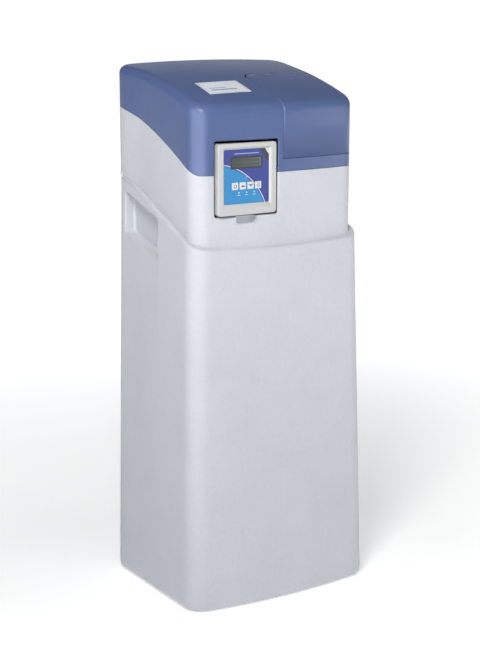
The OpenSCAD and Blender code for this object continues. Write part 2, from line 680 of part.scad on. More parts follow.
module valve_body() color([0.22, 0.22, 0.24]) difference() {
  union() {
    rod_y(tank_x, valve_z, valve_y, valve_end, barrel_r);
    rod_y(tank_x, valve_z, valve_y, valve_y + 8, barrel_r + 4);
    rod_z(tank_x, tank_y, tank_top, valve_z, collar_r);
    rod_z(tank_x, tank_y, tank_top - spigot_l, tank_top, thread_r);
    face_box(tank_x, valve_z, port_gap + 2 * port_r, 2 * port_r, valve_end - manifold_l, valve_end);
    for (x = [port_in_x, port_out_x]) rod_y(x, valve_z, valve_end - 1, valve_end + 16, port_r);
    rod_x(inject_y, valve_z, tank_x, side_x, 16);
    rod_x(brine_y, valve_z, tank_x, side_x, 9);
    rod_z(tank_x, drain_y, valve_z, drain_z, 11);
  }
  rod_y(tank_x, valve_z, valve_y - 1, stack_y0 + stack_l, bore_r);
  rod_y(tank_x, valve_z, stack_y0 + stack_l - 1, stack_y0 + stack_l + 6, piston_r);
  rod_z(tank_x, tank_y, tank_top - spigot_l - 1, tank_top + 14, riser_r + 0.1);
  for (x = [port_in_x, port_out_x]) rod_y(x, valve_z, valve_end - manifold_l + 8, valve_end + 17, water_r);
  rod_x(inject_y, valve_z, side_x - 14, side_x + 1, 9);
  rod_x(brine_y, valve_z, side_x - 14, side_x + 1, line_r + 1);
  rod_z(tank_x, drain_y, drain_z - 12, drain_z + 1, 7);
}
ring_h = 4;
module neck_ring() color([0.1, 0.1, 0.1]) difference() {
  rod_z(tank_x, tank_y, tank_top - ring_h, tank_top, thread_r + 4);
  rod_z(tank_x, tank_y, tank_top - ring_h - 1, tank_top + 1, thread_r + 0.2);
}
cap_disc = 7;
module injector_cap() color([0.2, 0.2, 0.22]) difference() {
  rod_x(inject_y, valve_z, side_x, side_x + cap_disc, 18);
  for (s = [-1, 1]) rod_x(inject_y, valve_z + s * 13, side_x - 1, side_x + cap_disc + 1, 1.8);
}
module injector_screws() color("silver") for (s = [-1, 1]) {
  rod_x(inject_y, valve_z + s * 13, side_x + 0.02, side_x + cap_disc, 1.7);
  rod_x(inject_y, valve_z + s * 13, side_x + cap_disc, side_x + cap_disc + 2, 3);
}
module drain_elbow() color([0.2, 0.2, 0.22]) {
  rod_z(tank_x, drain_y, drain_z - 11.9, drain_z, 6.8);
  rod_z(tank_x, drain_y, drain_z, drain_z + 16, 10);
  rod_y(tank_x, drain_z + 8, drain_y, drain_y + 40, 6.5);
  for (k = [0:2]) translate([tank_x, drain_y + 24 + 5 * k, drain_z + 8]) rotate([-90, 0, 0])
    cylinder(r1 = 7.6, r2 = 6.5, h = 4);
}
brine_nut = 14;
module brine_elbow() color([0.2, 0.2, 0.22]) difference() {
  union() {
    rod_x(brine_y, valve_z, side_x - 13, side_x, line_r + 0.9);
    rod_x(brine_y, valve_z, side_x, side_x + brine_nut, 9);
  }
  rod_x(brine_y, valve_z, side_x + 3, side_x + brine_nut + 1, line_r + 0.1);
}
meter_y = valve_end + 4;
module meter_turbine() color("ivory") {
  rod_y(port_out_x, valve_z, meter_y, meter_y + 9, 3);
  for (k = [0:3]) translate([port_out_x, meter_y + 1, valve_z]) rotate([0, 90 * k + 20, 0])
    translate([-0.8, 0, 0]) cube([1.6, 7, water_r - 0.4]);
}

// Pressure tank
floor_gap = 0.02;
boot_z = wall + floor_gap;
boot_h = 46;
boot_t = 4;
tank_z0 = boot_z + 8;
dome_h = tank_r * 0.86;
bore_neck = thread_r + 0.3;
neck_out = thread_r + 6;
neck_z = tank_top - ring_h - 16;
function dome(r, h, z, s, n, r_end) = [for (k = [0:n])
  let (a0 = acos(r_end / r), a = s > 0 ? a0 * k / n : a0 * (1 - k / n)) [r * cos(a), z + s * h * sin(a)]];
tank_c0 = tank_z0 + dome_h;
tank_c1 = neck_z - dome_h;
inner_r = tank_r - tank_wall;
inner_h = dome_h - tank_wall;
module resin_tank() color([0.15, 0.2, 0.3]) translate([tank_x, tank_y, 0])
  rotate_extrude($fn = 96) polygon(concat(
  [[0, tank_z0]], dome(tank_r, dome_h, tank_c0, -1, 10, 6), dome(tank_r, dome_h, tank_c1, 1, 10, neck_out),
  [[neck_out, tank_top - ring_h - 0.02], [bore_neck, tank_top - ring_h - 0.02], [bore_neck, neck_z - 8]],
  [for (k = [10:-1:0]) dome(inner_r, inner_h, tank_c1, 1, 10, bore_neck + 2)[k]],
  [for (k = [10:-1:0]) dome(inner_r, inner_h, tank_c0, -1, 10, 4)[k]], [[0, tank_z0 + tank_wall]]));
module tank_boot() color([0.12, 0.12, 0.13]) translate([tank_x, tank_y, 0]) difference() {
  rod_z(0, 0, boot_z, boot_z + boot_h, tank_r + 2);
  rotate_extrude($fn = 96) polygon(concat([[0, tank_z0 - 0.05]],
    dome(tank_r + 0.1, dome_h + 0.1, tank_c0, -1, 10, 6), [[tank_r + 0.1, tank_c0 + 20], [0, tank_c0 + 20]]));
}
bed_r = tank_r - tank_wall - fit;
basket_r = riser_r + 9;
basket_z0 = tank_z0 + tank_wall + 3;
basket_h = 62;
bed_top = tank_c0 + resin_h - dome_h;
module resin_bed() color([0.7, 0.55, 0.25]) translate([tank_x, tank_y, 0]) difference() {
  rotate_extrude($fn = 96) polygon(concat([[0, tank_c0 - dome_h + tank_wall + 2]],
    dome(bed_r, inner_h - fit, tank_c0, -1, 10, 4), [[bed_r, bed_top], [0, bed_top]]));
  rod_z(0, 0, 0, basket_z0 + basket_h + fit, basket_r + fit);
  rod_z(0, 0, 0, tank_top, riser_r + fit);
}
module riser_tube() color("whitesmoke") difference() {
  rod_z(tank_x, tank_y, basket_z0 + 30, tank_top + 12, riser_r);
  rod_z(tank_x, tank_y, basket_z0 + 29, tank_top + 13, riser_r - 2.2);
}
module slotted(z0, h, r, hole, n) difference() {
  rod_z(tank_x, tank_y, z0, z0 + h, r);
  rod_z(tank_x, tank_y, z0 - 1, z0 + h + 1, hole);
  for (k = [0:n - 1]) translate([tank_x, tank_y, 0]) rotate([0, 0, 360 * k / n])
    box(hole - 1, r + 1, -0.6, 0.6, z0 + 6, z0 + h - 10);
}
module bottom_basket() color("whitesmoke") {
  slotted(basket_z0 + 3, basket_h - 3, basket_r, riser_r + 0.05, 16);
  rod_z(tank_x, tank_y, basket_z0, basket_z0 + 3, basket_r);
}
module top_basket() color("whitesmoke")
  slotted(tank_top - spigot_l - 30, 30, thread_r - 4, riser_r + 0.05, 16);

// Bypass and pipe tails
by_y0 = valve_end + 16.02;
bypass_l = 86.6;
by_y1 = by_y0 + bypass_l;
rotor_y = (by_y0 + by_y1) / 2;
rotor_r = water_r + 4;
house_r = rotor_r + 5;
house_h = port_r + 10;
tube_r = water_r + 6;
module bypass_body() color([0.13, 0.13, 0.14]) difference() {
  union() {
    for (x = [port_in_x, port_out_x]) {
      rod_y(x, valve_z, by_y0, by_y1, tube_r);
      rod_z(x, rotor_y, valve_z - house_h, valve_z + house_h, house_r);
    }
    rod_x(rotor_y, valve_z, port_in_x, port_out_x, tube_r - 3);
  }
  for (x = [port_in_x, port_out_x]) {
    rod_y(x, valve_z, by_y0 - 1, by_y1 + 1, water_r);
    rod_z(x, rotor_y, valve_z - house_h + 5, valve_z + house_h + 1, rotor_r + run);
  }
  rod_x(rotor_y, valve_z, port_in_x, port_out_x, water_r - 2);
}
knob_h = 12;
knob_l = 2 * house_r + 4;
module rotor(x) difference() {
  union() {
    rod_z(x, rotor_y, valve_z - house_h + 5.3, valve_z + house_h + 1, rotor_r);
    rod_z(x, rotor_y, valve_z + house_h + 0.4, valve_z + house_h + 5, house_r - 1);
    translate([x - 5, rotor_y - knob_l / 2, valve_z + house_h + 5]) cube([10, knob_l, knob_h]);
  }
  rod_y(x, valve_z, rotor_y - rotor_r - 2, rotor_y + rotor_r + 2, water_r - 2);
}
module bypass_rotor_in() color("firebrick") rotor(port_in_x);
module bypass_rotor_out() color("firebrick") rotor(port_out_x);
nut_r = tube_r + 7;
nut_l = 22;
module nut(x, y) difference() {
  union() {
    rod_y(x, valve_z, y, y + nut_l, nut_r);
    for (k = [0:7]) translate([x, y, valve_z]) rotate([0, 45 * k, 0])
      translate([-2, 0, nut_r - 1.5]) cube([4, nut_l - 2, 3]);
  }
  rod_y(x, valve_z, y - 1, y + nut_l + 1, tube_r + 0.1);
}
module bypass_nuts() color([0.13, 0.13, 0.14]) for (x = [port_in_x, port_out_x]) {
  nut(x, by_y0 - 13);
  nut(x, by_y1 - 13);
}
tail_flange = 6;
tail_neck = 20;
tail_out = 10;
tail_end = max(half_d + tail_out, by_y1 + tail_flange + tail_neck + pipe_l);
module pipe_tails() color("whitesmoke") for (x = [port_in_x, port_out_x]) difference() {
  union() {
    rod_y(x, valve_z, by_y1 + 0.02, by_y1 + tail_flange, tube_r);
    rod_y(x, valve_z, by_y1 + 0.02, tail_end - 1, pipe_r - 1.5);
    rod_y(x, valve_z, tail_end - pipe_l, tail_end, pipe_r);
  }
  rod_y(x, valve_z, by_y1 - 1, tail_end + 1, water_r);
}

// Brine side
well_r = well_d / 2;
well_x = neck_a - wall - grip_deep - 2 * wall - well_r + 6;
well_y = half_d - wall - well_r - 12;
well_z0 = wall + floor_gap;
well_top = valve_z + 30;
bend_r = 26;
line_z = valve_z;
line_back = 20;
line_end = well_y - line_back;
module line_path(r, over) {
  rod_x(brine_y, line_z, side_x + 3.2 - over, well_x - bend_r, r);
  translate([well_x - bend_r, brine_y + bend_r, line_z]) rotate([0, 0, -90]) rotate_extrude(angle = 90)
    translate([bend_r, 0]) circle(r = r);
  rod_y(well_x, line_z, brine_y + bend_r, line_end + over, r);
}
module brine_line() color("ivory") difference() {
  line_path(line_r, 0);
  line_path(line_r - 1.5, 1);
}
well_slot_h = 30;
module brine_well() color("ivory") difference() {
  rod_z(well_x, well_y, well_z0, well_top, well_r);
  rod_z(well_x, well_y, well_z0 - 1, well_top + 1, well_r - well_wall);
  rod_y(well_x, line_z, well_y - well_r - 5, well_y, line_r + 0.2);
  for (k = [0:3]) translate([well_x, well_y, 0]) rotate([0, 0, 45 + 90 * k])
    box(well_r - 8, well_r + 2, -5, 5, well_z0 - 1, well_z0 + well_slot_h);
}
cap_top = 4;
module well_cap() color([0.2, 0.2, 0.22]) difference() {
  union() {
    rod_z(well_x, well_y, well_top + 0.05, well_top + cap_top, well_r + 2);
    rod_z(well_x, well_y, well_top - 8, well_top + 1, well_r - well_wall - fit);
    box(well_x - 20, well_x + 20, well_y - 3, well_y + 3, well_top + cap_top - 1, well_top + cap_top + 12);
  }
  rod_z(well_x, well_y, well_top - 9, well_top, well_r - well_wall - fit - 2.5);
}
valve_r = 10;
check_z = well_z0 + 24;
guide_x = well_x + valve_r + float_r + 3;
guide_r = 2;
arm_z = [check_z + 70, line_z - 30];
module brine_valve() color("whitesmoke") difference() {
  union() {
    rod_y(well_x, line_z, line_end - 14, well_y, line_r + 3);
    rod_z(well_x, well_y, line_z - 12, line_z + 12, valve_r);
    rod_z(well_x, well_y, check_z, line_z, line_r);
    rod_z(well_x, well_y, well_z0, check_z + 60, valve_r);
    for (z = arm_z) {
      box(well_x, guide_x, well_y - 4, well_y + 4, z, z + 5);
      rod_z(guide_x, well_y, z, z + 5, guide_r + 4);
    }
  }
  rod_y(well_x, line_z, line_end - 15, line_end + 0.05, line_r + 0.1);
  for (z = arm_z) rod_z(guide_x, well_y, z - 1, z + 6, guide_r + run);
}
rod_z0 = arm_z[0] - 12;
float_z = well_z0 + 420;
float_h = 46;
module float_rod() color("silver") rod_z(guide_x, well_y, rod_z0, arm_z[1] + 5 + float_travel + 4, guide_r);
module brine_float() color("white") difference() {
  union() {
    rod_z(guide_x, well_y, float_z + 6, float_z + float_h - 6, float_r);
    translate([guide_x, well_y, float_z]) cylinder(r1 = float_r - 5, r2 = float_r, h = 6);
    translate([guide_x, well_y, float_z + float_h - 6]) cylinder(r1 = float_r, r2 = float_r - 5, h = 6);
  }
  rod_z(guide_x, well_y, float_z - 1, float_z + float_h + 1, guide_r + 0.02);
}
leg_r = 11;
grid_gap = 2;
legs = [[half_w - 60, -half_d + 75], [half_w - 60, 0],
  [tank_x + tank_r + 30, -half_d + 60], [tank_x - 60, half_d - 40]];
function off_legs(x, y) = min([for (p = legs) norm([x - p.x, y - p.y])]) > leg_r + 8;
grid_step = 22;
module salt_grid() color("whitesmoke") difference() {
  union() {
    translate([0, 0, grid_z]) linear_extrude(height = grid_t)
      polygon(low_plan(grid_z + grid_t, wall + grid_gap));
    for (p = legs) rod_z(p.x, p.y, wall + floor_gap, grid_z + 1, leg_r);
  }
  rod_z(tank_x, tank_y, grid_z - 1, grid_z + grid_t + 1, tank_r + 3);
  rod_z(well_x, well_y, grid_z - 1, grid_z + grid_t + 1, well_r + 0.6);
  for (p = legs) rod_z(p.x, p.y, wall - 1, grid_z + grid_t + 1, leg_r - 3);
  for (i = [0:6], j = [0:6]) let (x = tank_x + tank_r + 20 + grid_step * i, y = -half_d + 40 + grid_step * j)
    if (x < half_w - 20 && norm([x - well_x, y - well_y]) > well_r + 10 && off_legs(x, y))
      rod_z(x, y, grid_z - 1, grid_z + grid_t + 1, 4);
}
over_flange = over_r + 8;
over_l = 30;
hose_l = 24;
hose_stop = 14;
hose_relief = 2;
hose_top = over_z - hose_stop - hose_relief;
module overflow_elbow() color([0.2, 0.2, 0.22]) difference() {
  union() {
    rod_y(over_x, over_z, half_d - wall - 16, half_d + 1, over_r);
    rod_y(over_x, over_z, half_d + 0.02, half_d + 4, over_flange);
    rod_y(over_x, over_z, half_d + 3, half_d + over_l, over_r - 1);
    translate([over_x, half_d + over_l, over_z]) sphere(r = over_r - 1);
    rod_z(over_x, half_d + over_l, over_z - hose_stop, over_z, over_r - 1);
    rod_z(over_x, half_d + over_l, hose_top - 1, over_z, over_r - 3.8);
    rod_z(over_x, half_d + over_l, hose_top - hose_l, hose_top, over_r - 3);
  }
  rod_y(over_x, over_z, half_d - wall - 17, half_d + over_l, over_r - 5);
  rod_z(over_x, half_d + over_l, hose_top - hose_l - 1, over_z, over_r - 5);
}
gasket_t = 3;
module overflow_gasket() color([0.1, 0.1, 0.1]) difference() {
  rod_y(over_x, over_z, half_d - wall - gasket_t, half_d - wall - 0.02, over_flange);
  rod_y(over_x, over_z, half_d - wall - gasket_t - 1, half_d, over_r + 0.1);
}
module overflow_nut() color([0.2, 0.2, 0.22]) difference() {
  translate([over_x, half_d - wall - gasket_t - 10, over_z]) rotate([-90, 0, 0])
    cylinder(r = over_flange + 2, h = 9.98, $fn = 6);
  rod_y(over_x, over_z, half_d - wall - gasket_t - 11, half_d, over_r + 0.1);
}
module cable_grommet() color([0.1, 0.1, 0.1]) difference() {
  union() {
    rod_y(cable_x, cable_z, half_d - wall - 4, half_d + 1, cable_r);
    rod_y(cable_x, cable_z, half_d + 0.02, half_d + 4, cable_r + 4);
  }
  rod_y(cable_x, cable_z, half_d - wall - 5, half_d + 5, 3.2);
}

cabinet();
cover();
salt_hatch();
cover_label();
hinge_brackets();
hatch_lugs();
hinge_pins();
bezel();
panel_overlay();
display();
status_led();
key_1();
key_2();
key_3();
key_4();
circuit_board();
control_box();
panel_screws();
drive_motor();
motor_pinion();
main_gear();
drive_cap();
piston();
seal_stack();
valve_body();
neck_ring();
injector_cap();
injector_screws();
drain_elbow();
brine_elbow();
meter_turbine();
resin_tank();
tank_boot();
resin_bed();
riser_tube();
bottom_basket();
top_basket();
bypass_body();
bypass_nuts();
bypass_rotor_in();
bypass_rotor_out();
pipe_tails();
brine_line();
brine_well();
well_cap();
brine_valve();
float_rod();
brine_float();
salt_grid();
overflow_elbow();
overflow_gasket();
overflow_nut();
cable_grommet();
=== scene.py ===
"""Looks of the cabinet water softener: smooth shells, the control panel, finishes, light and camera."""
import json
import math

import bmesh
import bpy
from mathutils import Matrix, Vector


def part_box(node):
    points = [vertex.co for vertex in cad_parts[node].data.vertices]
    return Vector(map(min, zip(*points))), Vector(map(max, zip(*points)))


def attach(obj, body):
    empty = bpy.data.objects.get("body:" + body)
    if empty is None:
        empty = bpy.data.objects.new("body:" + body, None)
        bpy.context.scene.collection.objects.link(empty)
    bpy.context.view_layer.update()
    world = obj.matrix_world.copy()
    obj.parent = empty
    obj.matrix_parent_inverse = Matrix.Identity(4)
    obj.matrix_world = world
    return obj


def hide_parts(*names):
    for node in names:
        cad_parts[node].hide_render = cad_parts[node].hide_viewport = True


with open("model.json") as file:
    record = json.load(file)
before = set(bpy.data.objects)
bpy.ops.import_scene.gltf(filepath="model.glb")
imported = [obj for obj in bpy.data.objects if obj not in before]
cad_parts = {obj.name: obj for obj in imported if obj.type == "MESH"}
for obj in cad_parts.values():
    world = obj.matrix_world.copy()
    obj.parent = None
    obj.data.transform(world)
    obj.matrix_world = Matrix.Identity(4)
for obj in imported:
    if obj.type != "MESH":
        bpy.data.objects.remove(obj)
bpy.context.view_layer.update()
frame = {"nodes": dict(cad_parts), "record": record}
nodes = frame["nodes"]
MM = 0.001

# Sizes of the shells in millimetres, the same as in the part's source
half_w, half_d = 212.5, 175.0
front_bow, corner_r, draft = 17.5, 37.0, 0.0234
wall, foot_r = 5.0, 16.0
ledge_z, ledge_rise, ledge_step = 717.0, 0.425, 10.5
seam_z, seam_rise, seam_gap = 860.0, 118.0, 0.8
cover_wall, cover_h, crown = 3.0, 169.0, 5.0
top_slope, top_curve, shoulder_r = 0.24, 0.00052, 16.0
lip_deep, lip_t, lip_in = 10.0, 2.4, 5.6
hatch_x, hatch_y, hatch_up, hatch_r = 2.0, 15.0, 24.0, 36.0
hatch_gap, hatch_rear_gap = 1.2, 2.0
grip_l, grip_h, grip_deep, grip_r, grip_rake = 133.0, 82.0, 23.0, 8.0, 0.3
grip_floor_r, grip_back, grip_under = 6.0, 111.0, 61.6
tank_r, tank_gap, valve_under, panel_over = 100.0, 2.7, 55.0, 46.0
panel_w, panel_h, panel_gap, panel_gap_top = 130.0, 136.0, 3.0, 5.0
panel_proud, bezel_deep = 1.0, 15.0
foil_w, foil_h, lcd_w, lcd_h = 100.0, 103.0, 69.0, 21.0
key_w, key_pitch, key_proud = 13.6, 17.2, 0.9
notch_w, notch_h, notch_deep = 46.0, 14.0, 12.0
port_off, port_side, port_up = 38.0, 30.0, 36.0
over_off, over_under, over_hole, cable_off, cable_hole = 112.0, 220.0, 12.8, 20.0, 8.3

# Sizes of the looks: the hatch seam's corners, the seat under it, the panel's slopes, the ledge's rounding
hatch_corner, opening_corner = hatch_r - 2, hatch_r - 5
seat_gap, seat_t, seat_out, seat_in, seat_end = 0.4, 1.6, 5.0, 6.0, -22.0
slope_side, slope_top, slope_low = 4.2, 3.8, 7.5
ledge_round = 0.55


def low_a(z):
    return half_w - draft * z


def low_f(z):
    return half_d - front_bow - draft * z


neck_a = low_a(ledge_z) - ledge_step
neck_f = low_f(ledge_z) - ledge_step
neck_r = corner_r - 4
ledge_r = ledge_step * ledge_round
flare_y, flare_l = half_d - 105, 75
top_z = seam_z + cover_h


def clamp(t):
    return min(max(t, 0.0), 1.0)


def smooth(t):
    return clamp(t) ** 2 * (3 - 2 * clamp(t))


def mix(p, q, t):
    return tuple(a + (b - a) * t for a, b in zip(p, q))


def ledge(y):
    h = max(0.0, y + neck_f + 20)
    return ledge_z + ledge_rise * h * h / (h + 6)


def seam(y):
    s = max(0.0, (y + neck_f - 4) / (half_d + neck_f - 4))
    t = s * s / (s + 0.02) * 1.02
    return seam_z + seam_rise * t * (1.5 - 0.5 * t)


def top(x, y):
    return top_z + top_slope * y - top_curve * y * y + crown * (1 - (x / neck_a) ** 2)


def front_y(x):
    return -neck_f - front_bow * (1 - (x / neck_a) ** 2)


flare = low_a(ledge(half_d)) - neck_a


def arc(cx, cy, r, start, n=12):
    turns = [math.radians(start + 90 * k / n) for k in range(n + 1)]
    return [(cx + r * math.cos(t), cy + r * math.sin(t)) for t in turns]


def between(p, q, n):
    return [mix(p, q, k / (n + 1)) for k in range(1, n + 1)]


def plan(a, f, b, r, fl):
    """Outline of the cabinet seen from above: a bowed front, round corners and flared rear corners."""
    outline = (
        arc(-a + r, -f + r, r, 180) + between((-a + r, -f), (a - r, -f), 29)
        + arc(a - r, -f + r, r, 270) + between((a, -f + r), (a, b - r), 24)
        + arc(a - r, b - r, r, 0) + between((a - r, b), (-a + r, b), 16)
        + arc(-a + r, b - r, r, 90) + between((-a, b - r), (-a, -f + r), 24))
    points = []
    for x, y in outline:
        y -= front_bow * (1 - (x / a) ** 2) * clamp((-y - (f - 2.5 * r)) / (2.5 * r))
        points.append((x * (1 + fl / a * smooth((y - flare_y) / flare_l)), y))
    return points


def low_plan(z, i):
    return plan(low_a(z) - i, low_f(z) - i, half_d - i, max(corner_r - i, 4), 0)


def neck_plan(i):
    return plan(neck_a - i, neck_f - i, half_d - i, max(neck_r - i, 4), flare)


def flat(points, z):
    return [(x, y, z) for x, y in points]


def on_seam(i, up):
    return [(x, y, seam(y) + up) for x, y in neck_plan(i)]


def on_top(i, down):
    return [(x, y, top(x, y) - down) for x, y in neck_plan(i)]


def ledge_ring(w, dz):
    """Ring across the ledge: w is 0 on the lower wall and 1 on the neck."""
    ring = []
    for low, high, neck in zip(low_plan(0, 0), low_plan(1000, 0), neck_plan(0)):
        z = ledge(neck[1]) + dz
        ring.append(mix(mix(low, high, z / 1000), neck, w) + (z,))
    return ring


def sweep(steps):
    return [math.radians(90 * k / steps) for k in range(steps + 1)]


# Mesh helpers
crease = math.radians(34)


def shade(bm):
    """Smooth faces, with a hard edge where two of them meet at more than the crease."""
    for f in bm.faces:
        f.smooth = True
    for e in bm.edges:
        e.smooth = len(e.link_faces) == 2 and e.calc_face_angle(0) < crease


def piece(name, bm):
    """The finished bmesh as an object at the origin."""
    bmesh.ops.recalc_face_normals(bm, faces=bm.faces)
    shade(bm)
    mesh = bpy.data.meshes.new(name)
    bm.to_mesh(mesh)
    bm.free()
    obj = bpy.data.objects.new(name, mesh)
    bpy.context.scene.collection.objects.link(obj)
    return obj


def loft(rings):
    """A skin through rings of points, by extruding the first ring's edges from ring to ring."""
    bm = bmesh.new()
    line = [bm.verts.new(Vector(p) * MM) for p in rings[0]]
    edges = [bm.edges.new((p, q)) for p, q in zip(line, line[1:] + line[:1])]
    first = edges
    for ring in rings[1:]:
        made = bmesh.ops.extrude_edge_only(bm, edges=edges)["geom"]
        fresh = {v for v in made if isinstance(v, bmesh.types.BMVert)}
        line = [next(w for e in v.link_edges if (w := e.other_vert(v)) in fresh) for v in line]
        edges = [bm.edges.get(pair) for pair in zip(line, line[1:] + line[:1])]
        for v, p in zip(line, ring):
            v.co = Vector(p) * MM
    return bm, first, edges


def cap(bm, edges):
    faces = bmesh.ops.contextual_create(bm, geom=edges)["faces"]
    bmesh.ops.poke(bm, faces=faces)


def block(x0, x1, y0, y1, z0, z1, round_along=None, r=0.0):
    """A box in millimetres, its four edges along one axis rounded."""
    bm = bmesh.new()
    size = Vector((x1 - x0, y1 - y0, z1 - z0)) * MM
    middle = Vector((x0 + x1, y0 + y1, z0 + z1)) * (MM / 2)
    bmesh.ops.create_cube(bm, size=1, matrix=Matrix.Translation(middle) @ Matrix.Diagonal((*size, 1)))
    if round_along is not None:
        axis = "xyz".index(round_along)
        edges = [e for e in bm.edges if abs((e.verts[0].co - e.verts[1].co)[axis]) > size[axis] * 0.9]
        bmesh.ops.bevel(bm, geom=edges, offset=r * MM, affect="EDGES", segments=6, profile=0.5, material=-1)
    return bm


def rod(x, y, z, length, r):
    """A cylinder in millimetres, from its start along Y."""
    bm = bmesh.new()
    turn = Matrix.Rotation(-math.pi / 2, 4, "X")
    middle = Matrix.Translation((0, 0, length * MM / 2))
    place = Matrix.Translation(Vector((x, y, z)) * MM) @ turn @ middle
    bmesh.ops.create_cone(bm, cap_ends=True, segments=48, radius1=r * MM, radius2=r * MM,
                          depth=length * MM, matrix=place)
    return bm


def tool(bm):
    return piece("tool", bm)


def shape(obj, *steps, thickness=None):
    """Gives a skin its wall and applies the cuts and joins to its mesh."""
    if thickness:
        skin = obj.modifiers.new("wall", "SOLIDIFY")
        skin.thickness, skin.offset = thickness * MM, -1
    for operation, operand in steps:
        mod = obj.modifiers.new("cut", "BOOLEAN")
        mod.operation, mod.object, mod.solver = operation, operand, "EXACT"
    bpy.context.view_layer.update()
    graph = bpy.context.evaluated_depsgraph_get()
    mesh = bpy.data.meshes.new_from_object(obj.evaluated_get(graph))
    obj.modifiers.clear()
    obj.data = mesh
    for operand in {operand for _, operand in steps}:
        bpy.data.objects.remove(operand)
    return obj


def soften(obj, width, pick, segments=3, sharper=40):
    """Rounds the edges of a piece that pick names by their middle, in millimetres."""
    bm = bmesh.new()
    bm.from_mesh(obj.data)
    bmesh.ops.remove_doubles(bm, verts=bm.verts, dist=0.00005)
    edges = [e for e in bm.edges if len(e.link_faces) == 2 and e.calc_face_angle(0) > math.radians(sharper)
             and pick((e.verts[0].co + e.verts[1].co) * (0.5 / MM))]
    bmesh.ops.bevel(bm, geom=edges, offset=width * MM, affect="EDGES", segments=segments, profile=0.5,
                    material=-1, clamp_overlap=False, loop_slide=False)
    shade(bm)
    bm.to_mesh(obj.data)
    bm.free()


def dress(obj, body, stands_for, slot, look=None):
    """Gives a piece its finish (its slot's unless a look is given), hangs it on the body it rides on and
    hides the nodes it stands for.
    """
    obj.data.materials.clear()
    obj.data.materials.append((look or finishes[slot]).material)
    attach(obj, body)
    if stands_for:
        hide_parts(*stands_for)


# Places of the panel, the hand grips and the openings in the rear wall
tank_x = -(neck_a - wall - tank_r - tank_gap)
panel_x, valve_z = tank_x, seam_z - valve_under
panel_z = valve_z + panel_over
panel_y = front_y(panel_x) - panel_proud
web_y, rim_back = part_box("panel_overlay")[1].y / MM, panel_y + bezel_deep
foil_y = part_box("panel_overlay")[0].y / MM
key_front = foil_y - key_proud
foil_z, lcd_z, led_z, key_z = panel_z + 4.5, panel_z + 31, panel_z + 3, panel_z - 13
cut_x0, cut_x1 = panel_x - panel_w / 2 - panel_gap, panel_x + panel_w / 2 + panel_gap
cut_z0, cut_z1 = panel_z - panel_h / 2 - panel_gap, panel_z + panel_h / 2 + panel_gap_top
grip_y = half_d - grip_back
grip_z = ledge(grip_y) - grip_under
port_in_x, port_out_x = tank_x - port_off, tank_x + port_off
over_x, over_z = tank_x + over_off, seam_z - over_under
cable_x = over_x + cable_off


# Shells


def grip_tool(side, grow):
    inner = low_a(grip_z) - grip_deep - grow
    outer = low_a(grip_z) + (-2.6 if grow else 12)
    x0, x1 = sorted((side * inner, side * outer))
    bm = block(x0, x1, grip_y - grip_l / 2 - grow, grip_y + grip_l / 2 + grow,
               grip_z - grip_h / 2 - grow, grip_z + grip_h / 2 + grow, "x", grip_r + grow)
    floor = [e for e in bm.edges if all(abs(v.co.x - side * inner * MM) < 1e-6 for v in e.verts)]
    bmesh.ops.bevel(bm, geom=floor, offset=(grip_floor_r + grow) * MM, affect="EDGES", segments=5,
                    profile=0.5, material=-1)
    lean = Matrix.Identity(4)
    lean[2][1], lean[2][3] = grip_rake, -grip_rake * grip_y * MM
    bmesh.ops.transform(bm, matrix=lean, verts=bm.verts)
    return tool(bm)


def panel_tool():
    return tool(block(cut_x0, cut_x1, -half_d - 20, tank_x - 30, cut_z0, cut_z1, "y", 5))


def notch_tool(grow):
    front, back = (panel_y + 3, notch_deep + grow) if grow else (-half_d, notch_deep)
    bm = block(panel_x - notch_w / 2 - grow, panel_x + notch_w / 2 + grow, front, panel_y + back,
               cut_z0 - notch_h - grow, cut_z0 + (0 if grow else 12), "y", 6)
    return tool(bm)


